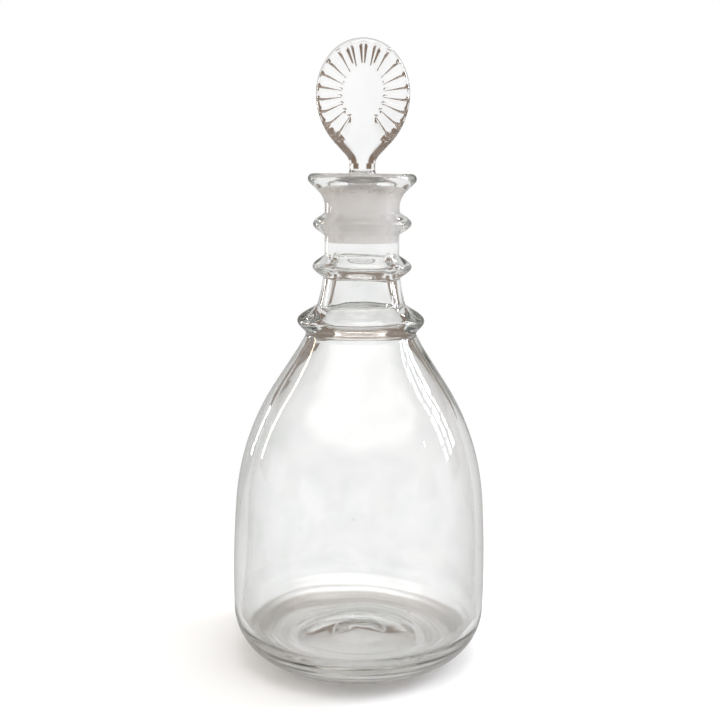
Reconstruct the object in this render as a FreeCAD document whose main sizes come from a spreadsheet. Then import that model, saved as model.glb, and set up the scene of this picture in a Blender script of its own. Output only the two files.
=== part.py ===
import FreeCAD, Part
import math
import os

import Sketcher

# Clear glass decanter with three applied neck rings and a fluted, ground-in stopper.
# Millimetres. +Z is up, the origin is the middle of the base on the plane it stands on,
# and the stopper's flat head faces -Y and +Y.

# Driving sizes, in millimetres and degrees: alias, value, meaning.
SIZES = [
    ("body_radius", 55.4, "greatest outside radius of the body"),
    ("belly_height", 35.0, "height of that greatest radius"),
    ("side_radius", 448.0, "long arc of the body's side"),
    ("corner_radius", 22.5, "arc from the foot to the side"),
    ("shoulder_slope", 33.0, "angle of the shoulder from upright, degrees"),
    ("neck_radius", 15.95, "outside radius of the straight neck"),
    ("neck_length", 33.9, "from the end of the neck's sweep to the top of the lip"),
    ("neck_sweep_radius", 78.0, "hollow arc from the shoulder to the neck"),
    ("lip_height", 210.7, "height of the lip's flat top"),
    ("lip_radius", 22.95, "greatest radius of the lip"),
    ("lip_edge_radius", 2.2, "rounding of the lip's outer edge"),
    ("lip_sweep_radius", 9.0, "hollow arc from the neck to the lip"),
    ("lip_slope", 45.0, "angle of the lip's underside from upright, degrees"),
    ("wall", 3.6, "glass thickness of the side and shoulder"),
    ("bore_radius", 11.2, "inside radius of the neck"),
    ("bore_sweep_radius", 84.0, "arc inside, from the shoulder to the bore"),
    ("floor_thickness", 7.2, "glass under the inside floor's low ring"),
    ("floor_rise", 4.6, "how far the floor is pushed up in the middle"),
    ("inner_corner_radius", 16.0, "arc inside, from the floor to the side"),
    ("foot_width", 6.4, "ring that the base stands on, outside the push-up"),
    ("kick_rise", 4.2, "depth of the push-up"),
    ("pontil_radius", 11.0, "radius of the polished pontil hollow"),
    ("pontil_depth", 1.3, "depth of the hollow beyond the push-up"),
    ("seat_depth", 10.4, "from the lip's top down to the ground seat"),
    ("seat_length", 18.5, "length of the ground seat"),
    ("seat_widening", 1.1, "how much the seat's radius grows from bottom to top"),
    ("mouth_sweep_radius", 17.0, "arc of the mouth above the seat"),
    ("mouth_edge_radius", 1.0, "rounding of the mouth's edge"),
    ("upper_ring_drop", 20.9, "from the lip's top down to the upper ring"),
    ("upper_ring_reach", 5.35, "how far the upper ring stands out of the neck"),
    ("upper_ring_width", 9.0, "height of the upper ring at its root"),
    ("upper_ring_nose", 2.2, "rounding of the upper ring's edge"),
    ("middle_ring_drop", 39.0, "from the lip's top down to the middle ring"),
    ("middle_ring_reach", 5.4, "how far the middle ring stands out of the neck"),
    ("middle_ring_width", 9.6, "height of the middle ring at its root"),
    ("middle_ring_nose", 2.4, "rounding of the middle ring's edge"),
    ("lower_ring_drop", 61.8, "from the lip's top down to the lower ring"),
    ("lower_ring_reach", 6.5, "how far the lower ring stands out of the neck"),
    ("lower_ring_width", 11.8, "height of the lower ring at its root"),
    ("lower_ring_nose", 2.6, "rounding of the lower ring's edge"),
    ("seat_clearance", 0.05, "radial gap between the ground peg and its seat"),
    ("peg_short", 0.6, "how far the peg stops above the seat's lower end"),
    ("peg_above", 2.1, "how far the peg's taper goes on above the seat"),
    ("peg_bevel", 0.8, "bevel round the peg's end"),
    ("peg_crown", 1.1, "how far the peg's end bulges"),
    ("stopper_shoulder_radius", 6.5, "rounding from the peg to the stem"),
    ("stem_fillet", 4.0, "hollow rounding at the foot of the stem"),
    ("stem_radius", 5.4, "radius of the stem"),
    ("stem_sink", 3.0, "how far the stem goes on inside the head"),
    ("head_foot_rise", 4.2, "from the lip's top to the foot of the head"),
    ("head_foot_ledge", 0.15, "how far the head's foot stands out of the stem"),
    ("head_foot_sweep", 4.5, "hollow arc from the head's foot to its flank"),
    ("head_lower_height", 28.4, "from the head's foot to its widest place"),
    ("head_upper_height", 22.6, "from the head's widest place to its top"),
    ("head_half_width", 19.55, "half the head's greatest width"),
    ("head_handover", 37.2, "angle where the head's side arc meets its top arc, degrees"),
    ("head_thickness", 12.0, "thickness of the head"),
    ("head_edge_round", 3.4, "rounding of the head's rim"),
    ("flute_count", 19, "flutes on each face"),
    ("flute_pitch", 16.8, "angle from flute to flute, degrees"),
    ("flute_length", 9.8, "length of a flute"),
    ("flute_width", 3.5, "width of a flute"),
    ("flute_depth", 1.2, "depth of a flute"),
    ("flute_border", 1.6, "smooth rim left outside the flutes"),
    ("overrun", 5.0, "how far cutting shapes reach past the glass"),
]

# Share of the way from the neck's sweep down to the side that the shoulder's slope takes.
SLOPE_SHARE = 0.383
# Share of the head's lower height that its lower arc takes; the flank and the sweep at its
# foot take the rest.
HEAD_ARC_SHARE = 0.705
# The flutes below the head's middle reach out by this share of its extra height there.
LOWER_SWELL_SHARE = 0.49
# The rim's rounding is limited to this share of the head's thickness.
EDGE_ROUND_LIMIT_SHARE = 0.45
# Two lengths closer than this are the same, in millimetres.
SAME = 1e-4


class Size(float):
    """A number that remembers the sheet formula it comes from."""

    def __new__(cls, value, formula):
        size = float.__new__(cls, value)
        size.formula = formula
        return size

    def __add__(self, other):
        return Size(float(self) + float(other), f"({self.formula} + {formula_of(other)})")

    def __radd__(self, other):
        return Size(float(other) + float(self), f"({formula_of(other)} + {self.formula})")

    def __sub__(self, other):
        return Size(float(self) - float(other), f"({self.formula} - {formula_of(other)})")

    def __rsub__(self, other):
        return Size(float(other) - float(self), f"({formula_of(other)} - {self.formula})")

    def __mul__(self, other):
        return Size(float(self) * float(other), f"({self.formula} * {formula_of(other)})")

    def __rmul__(self, other):
        return Size(float(other) * float(self), f"({formula_of(other)} * {self.formula})")

    def __truediv__(self, other):
        return Size(float(self) / float(other), f"({self.formula} / {formula_of(other)})")

    def __neg__(self):
        return Size(-float(self), f"(-{self.formula})")


def formula_of(number):
    """The sheet formula of a size, or a plain number as text."""
    if isinstance(number, Size):
        return number.formula
    return repr(float(number))


def sine(angle):
    return Size(math.sin(math.radians(angle)), f"sin({angle.formula})")


def cosine(angle):
    return Size(math.cos(math.radians(angle)), f"cos({angle.formula})")


def tangent(angle):
    return Size(math.tan(math.radians(angle)), f"tan({angle.formula})")


def root(size):
    return Size(math.sqrt(size), f"sqrt({size.formula})")


def smaller(one, other):
    return Size(min(one, other), f"min({one.formula}; {other.formula})")


def write_sheet(doc):
    """Put the driving sizes into a sheet and give them back by name."""
    sheet = doc.addObject("Spreadsheet::Sheet", "Sizes")
    for row, (alias, value, meaning) in enumerate(SIZES, start=1):
        sheet.set(f"A{row}", meaning)
        sheet.set(f"B{row}", str(value))
        sheet.setAlias(f"B{row}", alias)
    doc.recompute()
    return {alias: Size(sheet.get(alias), f"Sizes.{alias}") for alias, _, _ in SIZES}


class Outline:
    """A closed outline, drawn edge after edge in one sketch and tied to the sheet."""

    def __init__(self, body, name):
        plane = next(item for item in body.Origin.OriginFeatures if item.Role == "XZ_Plane")
        self.sketch = body.newObject("Sketcher::SketchObject", name)
        self.sketch.AttachmentSupport = [(plane, "")]
        self.sketch.MapMode = "FlatFace"
        self.edges = []

    def line(self, start, end):
        segment = Part.LineSegment(FreeCAD.Vector(*start, 0), FreeCAD.Vector(*end, 0))
        index = self.sketch.addGeometry(segment, False)
        self.edges.append((index, 1, 2))
        return index

    def arc(self, centre, start, end, clockwise=False):
        first, last = (end, start) if clockwise else (start, end)
        middle = FreeCAD.Vector(*centre, 0)
        circle = Part.Circle(middle, FreeCAD.Vector(0, 0, 1), math.dist(centre, start))
        angles = [math.atan2(p[1] - centre[1], p[0] - centre[0]) for p in (first, last)]
        index = self.sketch.addGeometry(Part.ArcOfCircle(circle, *angles), False)
        self.edges.append((index, 2, 1) if clockwise else (index, 1, 2))
        return index

    def join(self, smooth):
        """Join every edge to the next; smooth lists the joints where they are tangent."""
        for place, (edge, _, end) in enumerate(self.edges):
            after, start, _ = self.edges[(place + 1) % len(self.edges)]
            kind = "Tangent" if place in smooth else "Coincident"
            self.sketch.addConstraint(Sketcher.Constraint(kind, edge, end, after, start))

    def start(self, place):
        return self.edges[place][0], self.edges[place][1]

    def end(self, place):
        return self.edges[place][0], self.edges[place][2]

    def centre(self, place):
        return self.edges[place][0], 3

    def level(self, *places):
        for place in places:
            self.sketch.addConstraint(Sketcher.Constraint("Horizontal", self.edges[place][0]))

    def upright(self, *places):
        for place in places:
            self.sketch.addConstraint(Sketcher.Constraint("Vertical", self.edges[place][0]))

    def above(self, point, other):
        self.sketch.addConstraint(Sketcher.Constraint("Vertical", *point, *other))

    def on_axis(self, point):
        self.sketch.addConstraint(Sketcher.Constraint("PointOnObject", *point, -2))

    def on_ground(self, point):
        self.sketch.addConstraint(Sketcher.Constraint("PointOnObject", *point, -1))

    def tie(self, constraint, size):
        """Add a sized constraint and bind it to the size's formula."""
        index = self.sketch.addConstraint(constraint)
        name = f"size{index}"
        self.sketch.renameConstraint(index, name)
        self.sketch.setExpression(f"Constraints.{name}", size.formula)

    def across(self, point, size):
        """Set how far a point lies from the axis."""
        pair = (-1, 1, *point) if size >= 0 else (*point, -1, 1)
        distance = size if size >= 0 else -size
        self.tie(Sketcher.Constraint("DistanceX", *pair, float(distance)), distance)

    def height(self, point, size):
        """Set how high a point lies."""
        pair = (-1, 1, *point) if size >= 0 else (*point, -1, 1)
        distance = size if size >= 0 else -size
        self.tie(Sketcher.Constraint("DistanceY", *pair, float(distance)), distance)

    def radius(self, place, size):
        self.tie(Sketcher.Constraint("Radius", self.edges[place][0], float(size)), size)

    def slope(self, place, size):
        """Set a line's angle from level, in degrees."""
        angle = math.radians(size)
        self.tie(Sketcher.Constraint("Angle", self.edges[place][0], angle), size)


def revolve(body, outline, kind, name):
    """Turn an outline about the body's upright axis, adding glass or cutting it."""
    feature = body.newObject(kind, name)
    feature.Profile = outline.sketch
    feature.ReferenceAxis = (outline.sketch, ["V_Axis"])
    feature.Angle = 360.0
    outline.sketch.Visibility = False
    return feature


def toward(start, end, length):
    """The point that lies length from start in the direction of end."""
    reach = length / math.dist(start, end)
    return start[0] + (end[0] - start[0]) * reach, start[1] + (end[1] - start[1]) * reach


def dot(one, other):
    """Product of two flat vectors, with its formula."""
    return one[0] * other[0] + one[1] * other[1]


def shoulder_places(d, inset):
    """Centres and joints of the side, shoulder and slope, inset into the glass."""
    slope = d["shoulder_slope"]
    along = (sine(slope), -cosine(slope))
    inward = (-cosine(slope), -sine(slope))
    sweep = d["neck_sweep_radius"]
    top = (d["neck_radius"] + sweep + sweep * inward[0],
           d["lip_height"] - d["neck_length"] + sweep * inward[1])
    side = (d["body_radius"] - d["side_radius"], d["belly_height"])
    side_bend = d["side_radius"]
    gap = (top[0] - side[0], top[1] - side[1])
    spread = dot(gap, along)
    run = root(spread * spread + side_bend * side_bend - dot(gap, gap)) - spread
    run = run * SLOPE_SHARE
    low = (top[0] + run * along[0], top[1] + run * along[1])
    gap = (low[0] - side[0], low[1] - side[1])
    bend = (side_bend * side_bend - dot(gap, gap)) / (2 * (dot(gap, inward) + side_bend))
    shoulder = (low[0] + bend * inward[0], low[1] + bend * inward[1])
    return {
        "side": side,
        "shoulder": shoulder,
        "side_end": toward(side, shoulder, side_bend - inset),
        "slope_start": (low[0] + inset * inward[0], low[1] + inset * inward[1]),
        "slope_end": (top[0] + inset * inward[0], top[1] + inset * inward[1]),
        "inward": inward,
    }


def corner_places(d, side, bend, rest_height, side_radius):
    """Centre and side joint of an arc that runs from a level floor into the side."""
    rise = rest_height + bend - side[1]
    centre = (side[0] + math.sqrt((side_radius - bend) ** 2 - rise ** 2), rest_height + bend)
    return centre, toward(side, centre, side_radius)


def kick_radius(d):
    """Radius of the push-up, inside the ring that the base stands on."""
    return d["body_radius"] - d["corner_radius"] - d["foot_width"]


def draw_outer_form(body, d):
    """The outside of the blown vessel, from the foot to the lip, turned solid."""
    at = shoulder_places(d, 0.0)
    corner, side_start = corner_places(d, at["side"], d["corner_radius"], 0.0, d["side_radius"])
    neck = float(d["neck_radius"])
    sweep_top = float(d["lip_height"] - d["neck_length"])
    sweep_centre = (neck + d["neck_sweep_radius"], sweep_top)
    lip = float(d["lip_height"])
    edge = float(d["lip_edge_radius"])
    tilt = math.radians(d["lip_slope"])
    edge_centre = (float(d["lip_radius"]) - edge, lip - edge)
    slope_end = (edge_centre[0] + edge * math.cos(tilt), edge_centre[1] - edge * math.sin(tilt))
    lip_sweep = float(d["lip_sweep_radius"])
    run = (slope_end[0] - neck - lip_sweep * (1 - math.cos(tilt))) / math.sin(tilt)
    slope_start = (slope_end[0] - run * math.sin(tilt), slope_end[1] - run * math.cos(tilt))
    lip_start = (neck, slope_start[1] - lip_sweep * math.sin(tilt))

    form = Outline(body, "outer_outline")
    form.line((0, 0), (corner[0], 0))
    form.arc(corner, (corner[0], 0), side_start)
    form.arc(at["side"], side_start, at["side_end"])
    form.arc(at["shoulder"], at["side_end"], at["slope_start"])
    form.line(at["slope_start"], at["slope_end"])
    form.arc(sweep_centre, at["slope_end"], (neck, sweep_top), clockwise=True)
    form.line((neck, sweep_top), lip_start)
    form.arc((neck + lip_sweep, lip_start[1]), lip_start, slope_start, clockwise=True)
    form.line(slope_start, slope_end)
    form.arc(edge_centre, slope_end, (edge_centre[0], lip))
    form.line((edge_centre[0], lip), (0, lip))
    form.line((0, lip), (0, 0))
    form.join(smooth=range(10))
    form.level(0, 10)
    form.upright(6, 11)
    form.on_axis(form.start(0))
    form.on_ground(form.start(0))
    form.radius(1, d["corner_radius"])
    form.radius(2, d["side_radius"])
    form.radius(5, d["neck_sweep_radius"])
    form.radius(7, d["lip_sweep_radius"])
    form.radius(9, d["lip_edge_radius"])
    form.across(form.centre(2), d["body_radius"] - d["side_radius"])
    form.height(form.centre(2), d["belly_height"])
    form.slope(4, 90 + d["shoulder_slope"])
    form.height(form.start(4), at["slope_start"][1])
    form.across(form.end(6), d["neck_radius"])
    form.height(form.start(6), d["lip_height"] - d["neck_length"])
    form.slope(8, 90 - d["lip_slope"])
    form.across(form.centre(9), d["lip_radius"] - d["lip_edge_radius"])
    form.height(form.end(10), d["lip_height"])
    return revolve(body, form, "PartDesign::Revolution", "outer_form")


def cut_inside(body, d):
    """The space inside the vessel, from the pushed-up floor to the bore of the neck."""
    wall = d["wall"]
    at = shoulder_places(d, wall)
    floor = float(d["floor_thickness"])
    corner, side_start = corner_places(
        d, at["side"], d["inner_corner_radius"], floor, d["side_radius"] - wall)
    bore = float(d["bore_radius"])
    kick = kick_radius(d)
    crown = floor + d["floor_rise"]
    floor_centre = (0, crown - (kick ** 2 + d["floor_rise"] ** 2) / (2 * d["floor_rise"]))
    half_slope = tangent(d["shoulder_slope"] / 2)
    meeting = d["lip_height"] - d["neck_length"] - d["neck_sweep_radius"] * half_slope
    meeting = meeting - d["wall"] / sine(d["shoulder_slope"])
    meeting = meeting + (d["neck_radius"] - d["bore_radius"]) / tangent(d["shoulder_slope"])
    bore_start = meeting + d["bore_sweep_radius"] * half_slope
    sweep_centre = (bore + d["bore_sweep_radius"], float(bore_start))
    slope_end = (sweep_centre[0] + d["bore_sweep_radius"] * at["inward"][0],
                 sweep_centre[1] + d["bore_sweep_radius"] * at["inward"][1])
    top = float(d["lip_height"] + d["overrun"])

    space = Outline(body, "inside_outline")
    space.arc(floor_centre, (0, crown), (kick, floor), clockwise=True)
    space.line((kick, floor), (corner[0], floor))
    space.arc(corner, (corner[0], floor), side_start)
    space.arc(at["side"], side_start, at["side_end"])
    space.arc(at["shoulder"], at["side_end"], at["slope_start"])
    space.line(at["slope_start"], slope_end)
    space.arc(sweep_centre, slope_end, (bore, float(bore_start)), clockwise=True)
    space.line((bore, float(bore_start)), (bore, top))
    space.line((bore, top), (0, top))
    space.line((0, top), (0, crown))
    space.join(smooth=range(1, 7))
    space.level(1, 8)
    space.upright(7, 9)
    space.on_axis(space.start(9))
    space.on_axis(space.centre(0))
    space.across(space.end(0), kick)
    space.height(space.end(1), d["floor_thickness"])
    space.height(space.start(0), d["floor_thickness"] + d["floor_rise"])
    space.radius(2, d["inner_corner_radius"])
    space.radius(3, d["side_radius"] - d["wall"])
    space.radius(6, d["bore_sweep_radius"])
    space.across(space.centre(3), d["body_radius"] - d["side_radius"])
    space.height(space.centre(3), d["belly_height"])
    space.slope(5, 90 + d["shoulder_slope"])
    space.height(space.start(5), at["slope_start"][1])
    space.across(space.end(7), d["bore_radius"])
    space.height(space.start(7), bore_start)
    space.height(space.end(8), d["lip_height"] + d["overrun"])
    return revolve(body, space, "PartDesign::Groove", "inside_space")


def cut_seat_and_mouth(body, d):
    """The ground, tapered seat of the stopper and the rounded mouth above it."""
    bore = float(d["bore_radius"])
    lip = float(d["lip_height"])
    seat_radius = d["bore_radius"] + d["seat_widening"]
    seat_top = d["lip_height"] - d["seat_depth"]
    seat_low = seat_top - d["seat_length"]
    sweep = float(d["mouth_sweep_radius"])
    edge = float(d["mouth_edge_radius"])
    lean = math.atan(d["seat_widening"] / d["seat_length"])
    sweep_centre = (seat_radius + sweep * math.cos(lean), seat_top - sweep * math.sin(lean))
    rise = lip - edge - sweep_centre[1]
    edge_centre = (sweep_centre[0] - math.sqrt((sweep - edge) ** 2 - rise ** 2), lip - edge)
    edge_start = toward(sweep_centre, edge_centre, sweep)
    edge_end = (edge_centre[0], lip)
    top = lip + d["overrun"]

    mouth = Outline(body, "mouth_outline")
    mouth.line((0, seat_low), (bore, seat_low))
    mouth.line((bore, seat_low), (seat_radius, seat_top))
    mouth.arc(sweep_centre, (seat_radius, seat_top), edge_start, clockwise=True)
    mouth.arc(edge_centre, edge_start, edge_end, clockwise=True)
    mouth.line(edge_end, (edge_centre[0], top))
    mouth.line((edge_centre[0], top), (0, top))
    mouth.line((0, top), (0, seat_low))
    mouth.join(smooth=[1, 2])
    mouth.level(0, 5)
    mouth.upright(4, 6)
    mouth.on_axis(mouth.start(6))
    mouth.across(mouth.end(0), d["bore_radius"])
    mouth.height(mouth.end(0), seat_low)
    mouth.across(mouth.end(1), seat_radius)
    mouth.height(mouth.end(1), seat_top)
    mouth.radius(2, d["mouth_sweep_radius"])
    mouth.radius(3, d["mouth_edge_radius"])
    mouth.height(mouth.end(3), d["lip_height"])
    mouth.above(mouth.centre(3), mouth.end(3))
    mouth.height(mouth.end(4), d["lip_height"] + d["overrun"])
    return revolve(body, mouth, "PartDesign::Groove", "seat_and_mouth")


def cut_dome(body, d, name, rim_radius, rim_height, crown_height):
    """A shallow dome cut into the underside of the base."""
    rise = crown_height - rim_height
    bend = (rim_radius ** 2 + rise ** 2) / (2 * rise)
    low = -d["overrun"]
    dome = Outline(body, f"{name}_outline")
    dome.line((0, low), (rim_radius, low))
    dome.line((rim_radius, low), (rim_radius, rim_height))
    dome.arc((0, crown_height - bend), (rim_radius, rim_height), (0, crown_height))
    dome.line((0, crown_height), (0, low))
    dome.join(smooth=[])
    dome.level(0)
    dome.upright(1, 3)
    dome.on_axis(dome.start(3))
    dome.on_axis(dome.centre(2))
    dome.across(dome.end(0), rim_radius)
    dome.height(dome.end(0), low)
    dome.height(dome.start(3), crown_height)
    if rim_height > 0:
        dome.height(dome.end(1), rim_height)
    else:
        dome.on_ground(dome.end(1))
    return revolve(body, dome, "PartDesign::Groove", name)


def make_vessel(doc, d):
    """The blown vessel: base, body, shoulder, neck and lip in one piece of glass."""
    body = doc.addObject("PartDesign::Body", "decanter_body")
    body.Label = "decanter_body"
    draw_outer_form(body, d)
    cut_inside(body, d)
    cut_seat_and_mouth(body, d)
    kick = kick_radius(d)
    cut_dome(body, d, "push_up", kick, 0.0, d["kick_rise"])
    bend = (kick * kick + d["kick_rise"] * d["kick_rise"]) / (2 * d["kick_rise"])
    rim = d["kick_rise"] - bend
    rim = rim + root(bend * bend - d["pontil_radius"] * d["pontil_radius"])
    cut_dome(body, d, "pontil_hollow", d["pontil_radius"], rim,
             d["kick_rise"] + d["pontil_depth"])
    return body


def make_envelope(doc, d):
    """The vessel's outside as a solid, which shapes the roots of the rings."""
    body = doc.addObject("PartDesign::Body", "vessel_envelope")
    draw_outer_form(body, d)
    return body


def neck_surface(d, height):
    """Outside radius of the neck at a height above the shoulder's slope."""
    drop = d["lip_height"] - d["neck_length"] - height
    if drop <= 0:
        return d["neck_radius"]
    sweep = d["neck_sweep_radius"]
    return d["neck_radius"] + sweep - root(sweep * sweep - drop * drop)


def tangent_from(point, centre, radius, side):
    """Where a line from a point touches a circle, above (+1) or below (-1) its centre."""
    away = math.dist(point, centre)
    turn = math.acos(radius / away) * side
    start = math.atan2(point[1] - centre[1], point[0] - centre[0])
    angle = start - turn
    return centre[0] + radius * math.cos(angle), centre[1] + radius * math.sin(angle)


def make_ring(doc, d, envelope, name):
    """A trail of glass laid round the neck, rounded outside and fused at its root."""
    height = d["lip_height"] - d[f"{name}_drop"]
    half = d[f"{name}_width"] / 2
    nose = d[f"{name}_nose"]
    root_low = neck_surface(d, height - half)
    root_high = neck_surface(d, height + half)
    outer = neck_surface(d, height) + d[f"{name}_reach"]
    nose_centre = (float(outer - nose), 0.0)
    low = (float(root_low), -float(half))
    high = (float(root_high), float(half))
    nose_low = tangent_from(low, nose_centre, nose, -1)
    nose_high = tangent_from(high, nose_centre, nose, 1)
    inside = float(d["bore_radius"])

    blank = doc.addObject("PartDesign::Body", f"{name}_blank")
    trail = Outline(blank, f"{name}_outline")
    trail.line((inside, low[1]), low)
    trail.line(low, nose_low)
    trail.arc(nose_centre, nose_low, nose_high)
    trail.line(nose_high, high)
    trail.line(high, (inside, high[1]))
    trail.line((inside, high[1]), (inside, low[1]))
    trail.join(smooth=[1, 2])
    trail.level(0, 4)
    trail.upright(5)
    trail.across(trail.start(0), d["bore_radius"])
    trail.across(trail.end(0), root_low)
    trail.height(trail.end(0), -half)
    trail.across(trail.end(3), root_high)
    trail.height(trail.end(3), half)
    trail.radius(2, nose)
    trail.on_ground(trail.centre(2))
    trail.across(trail.centre(2), outer - nose)
    revolve(blank, trail, "PartDesign::Revolution", f"{name}_trail")
    blank.setExpression("Placement.Base.z", height.formula)

    ring = doc.addObject("Part::Cut", f"neck_{name}")
    ring.Base = blank
    ring.Tool = envelope
    ring.Label = f"neck_{name}"
    return ring


def add_peg_and_stem(body, d):
    """The ground peg, its rounded shoulder and the stem, turned about the axis."""
    taper = d["seat_widening"] / d["seat_length"]
    seat_low = -(d["seat_depth"] + d["seat_length"])
    low = seat_low + d["peg_short"]
    top = d["peg_above"] - d["seat_depth"]
    end_radius = d["bore_radius"] + taper * d["peg_short"] - d["seat_clearance"]
    bevel = d["peg_bevel"]
    bevel_radius = end_radius + taper * bevel
    top_radius = d["bore_radius"] + taper * (top - seat_low) - d["seat_clearance"]
    flat = end_radius - bevel
    crown = d["peg_crown"]
    crown_bend = (flat ** 2 + crown ** 2) / (2 * crown)
    lean = math.atan(taper)
    bend = float(d["stopper_shoulder_radius"])
    shoulder = (top_radius - bend * math.cos(lean), top + bend * math.sin(lean))
    fillet = float(d["stem_fillet"])
    stem = float(d["stem_radius"])
    reach = stem + fillet - shoulder[0]
    fillet_height = shoulder[1] + math.sqrt((bend + fillet) ** 2 - reach ** 2)
    fillet_centre = (stem + fillet, float(fillet_height))
    waist = toward(shoulder, fillet_centre, bend)
    stem_top = d["head_foot_rise"] + d["stem_sink"]

    peg = Outline(body, "peg_outline")
    peg.arc((0, low - crown + crown_bend), (0, low - crown), (flat, low))
    peg.line((flat, low), (bevel_radius, low + bevel))
    peg.line((bevel_radius, low + bevel), (top_radius, top))
    peg.arc(shoulder, (top_radius, top), waist)
    peg.arc(fillet_centre, waist, (stem, fillet_height), clockwise=True)
    peg.line((stem, fillet_height), (stem, stem_top))
    peg.line((stem, stem_top), (0, stem_top))
    peg.line((0, stem_top), (0, low - crown))
    peg.join(smooth=[2, 3, 4])
    peg.level(6)
    peg.upright(5, 7)
    peg.on_axis(peg.start(7))
    peg.on_axis(peg.centre(0))
    peg.height(peg.start(0), low - crown)
    peg.across(peg.end(0), flat)
    peg.height(peg.end(0), low)
    peg.across(peg.end(1), bevel_radius)
    peg.height(peg.end(1), low + bevel)
    peg.across(peg.end(2), top_radius)
    peg.height(peg.end(2), top)
    peg.radius(3, d["stopper_shoulder_radius"])
    peg.radius(4, d["stem_fillet"])
    peg.across(peg.end(5), d["stem_radius"])
    peg.height(peg.end(5), stem_top)
    return revolve(body, peg, "PartDesign::Revolution", "peg_and_stem")


def flank_angle(width, height, sweep):
    """Slope of the straight flank below the head's lower arc, in radians from upright."""
    low, high = 0.0, math.pi / 2
    while high - low > SAME * SAME:
        angle = (low + high) / 2
        arc_reach = HEAD_ARC_SHARE * height * math.tan(angle / 2)
        line_height = (1 - HEAD_ARC_SHARE) * height - sweep * math.sin(angle)
        sweep_reach = sweep * (1 - math.cos(angle))
        if arc_reach + line_height * math.tan(angle) + sweep_reach < width:
            low = angle
        else:
            high = angle
    return angle


def add_head(body, d):
    """The flat, balloon-shaped head with a rounded rim, drawn in at its foot."""
    foot = d["stem_radius"] + d["head_foot_ledge"]
    foot_height = d["head_foot_rise"]
    wide_height = foot_height + d["head_lower_height"]
    wide = d["head_half_width"]
    turn = d["head_handover"]
    share = 1 - cosine(turn) - sine(turn)
    side_bend = (wide * (1 - sine(turn)) - d["head_upper_height"] * cosine(turn)) / share
    top_bend = (d["head_upper_height"] * (1 - cosine(turn)) - wide * sine(turn)) / share
    handover = (float(top_bend * cosine(turn)), float(wide_height + side_bend * sine(turn)))
    top_centre = (0.0, float(wide_height + d["head_upper_height"] - top_bend))
    sweep = float(d["head_foot_sweep"])
    flank = flank_angle(float(wide - foot), float(d["head_lower_height"]), sweep)
    sweep_end = (float(foot) + sweep * (1 - math.cos(flank)),
                 float(foot_height) + sweep * math.sin(flank))
    flank_top = foot_height + (1 - HEAD_ARC_SHARE) * d["head_lower_height"]
    low_bend = HEAD_ARC_SHARE * d["head_lower_height"] / math.sin(flank)
    flank_end = (float(wide - low_bend * (1 - math.cos(flank))), float(flank_top))

    head = Outline(body, "head_outline")
    head.line((-foot, foot_height), (foot, foot_height))
    head.arc((foot + sweep, foot_height), (foot, foot_height), sweep_end, clockwise=True)
    head.line(sweep_end, flank_end)
    head.arc((wide - low_bend, wide_height), flank_end, (wide, wide_height))
    head.arc((wide - side_bend, wide_height), (wide, wide_height), handover)
    head.arc(top_centre, handover, (-handover[0], handover[1]))
    head.arc((side_bend - wide, wide_height), (-handover[0], handover[1]), (-wide, wide_height))
    head.arc((low_bend - wide, wide_height), (-wide, wide_height), (-flank_end[0], flank_end[1]))
    head.line((-flank_end[0], flank_end[1]), (-sweep_end[0], sweep_end[1]))
    head.arc((-foot - sweep, foot_height), (-sweep_end[0], sweep_end[1]), (-foot, foot_height),
             clockwise=True)
    head.join(smooth=[1, 2, 4, 5, 7, 8])
    head.level(0)
    head.height(head.start(0), foot_height)
    head.across(head.end(0), foot)
    head.across(head.start(0), -foot)
    head.radius(5, top_bend)
    for foot_arc, low_arc, side_arc, widest, flank_joint in (
            (1, 3, 4, head.start(4), head.end(2)), (9, 7, 6, head.end(6), head.start(8))):
        head.radius(foot_arc, d["head_foot_sweep"])
        head.height(head.centre(foot_arc), foot_height)
        head.across(widest, wide if low_arc < side_arc else -wide)
        head.height(widest, wide_height)
        head.height(head.centre(low_arc), wide_height)
        head.height(head.centre(side_arc), wide_height)
        head.radius(side_arc, side_bend)
        head.height(flank_joint, flank_top)

    pad = body.newObject("PartDesign::Pad", "head_blank")
    pad.Profile = head.sketch
    pad.SideType = "Symmetric"
    pad.setExpression("Length", d["head_thickness"].formula)
    head.sketch.Visibility = False
    body.Document.recompute()

    half = d["head_thickness"] / 2
    rims = []
    for number, edge in enumerate(pad.Shape.Edges, start=1):
        box = edge.BoundBox
        on_face = box.YLength < SAME and abs(abs(box.YMin) - half) < SAME
        if on_face and box.ZMax - foot_height > SAME:
            rims.append(f"Edge{number}")
    rounding = body.newObject("PartDesign::Fillet", "head_rim")
    rounding.Base = (pad, rims)
    limit = d["head_thickness"] * EDGE_ROUND_LIMIT_SHARE
    rounding.setExpression("Radius", smaller(d["head_edge_round"], limit).formula)
    return pad


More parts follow.
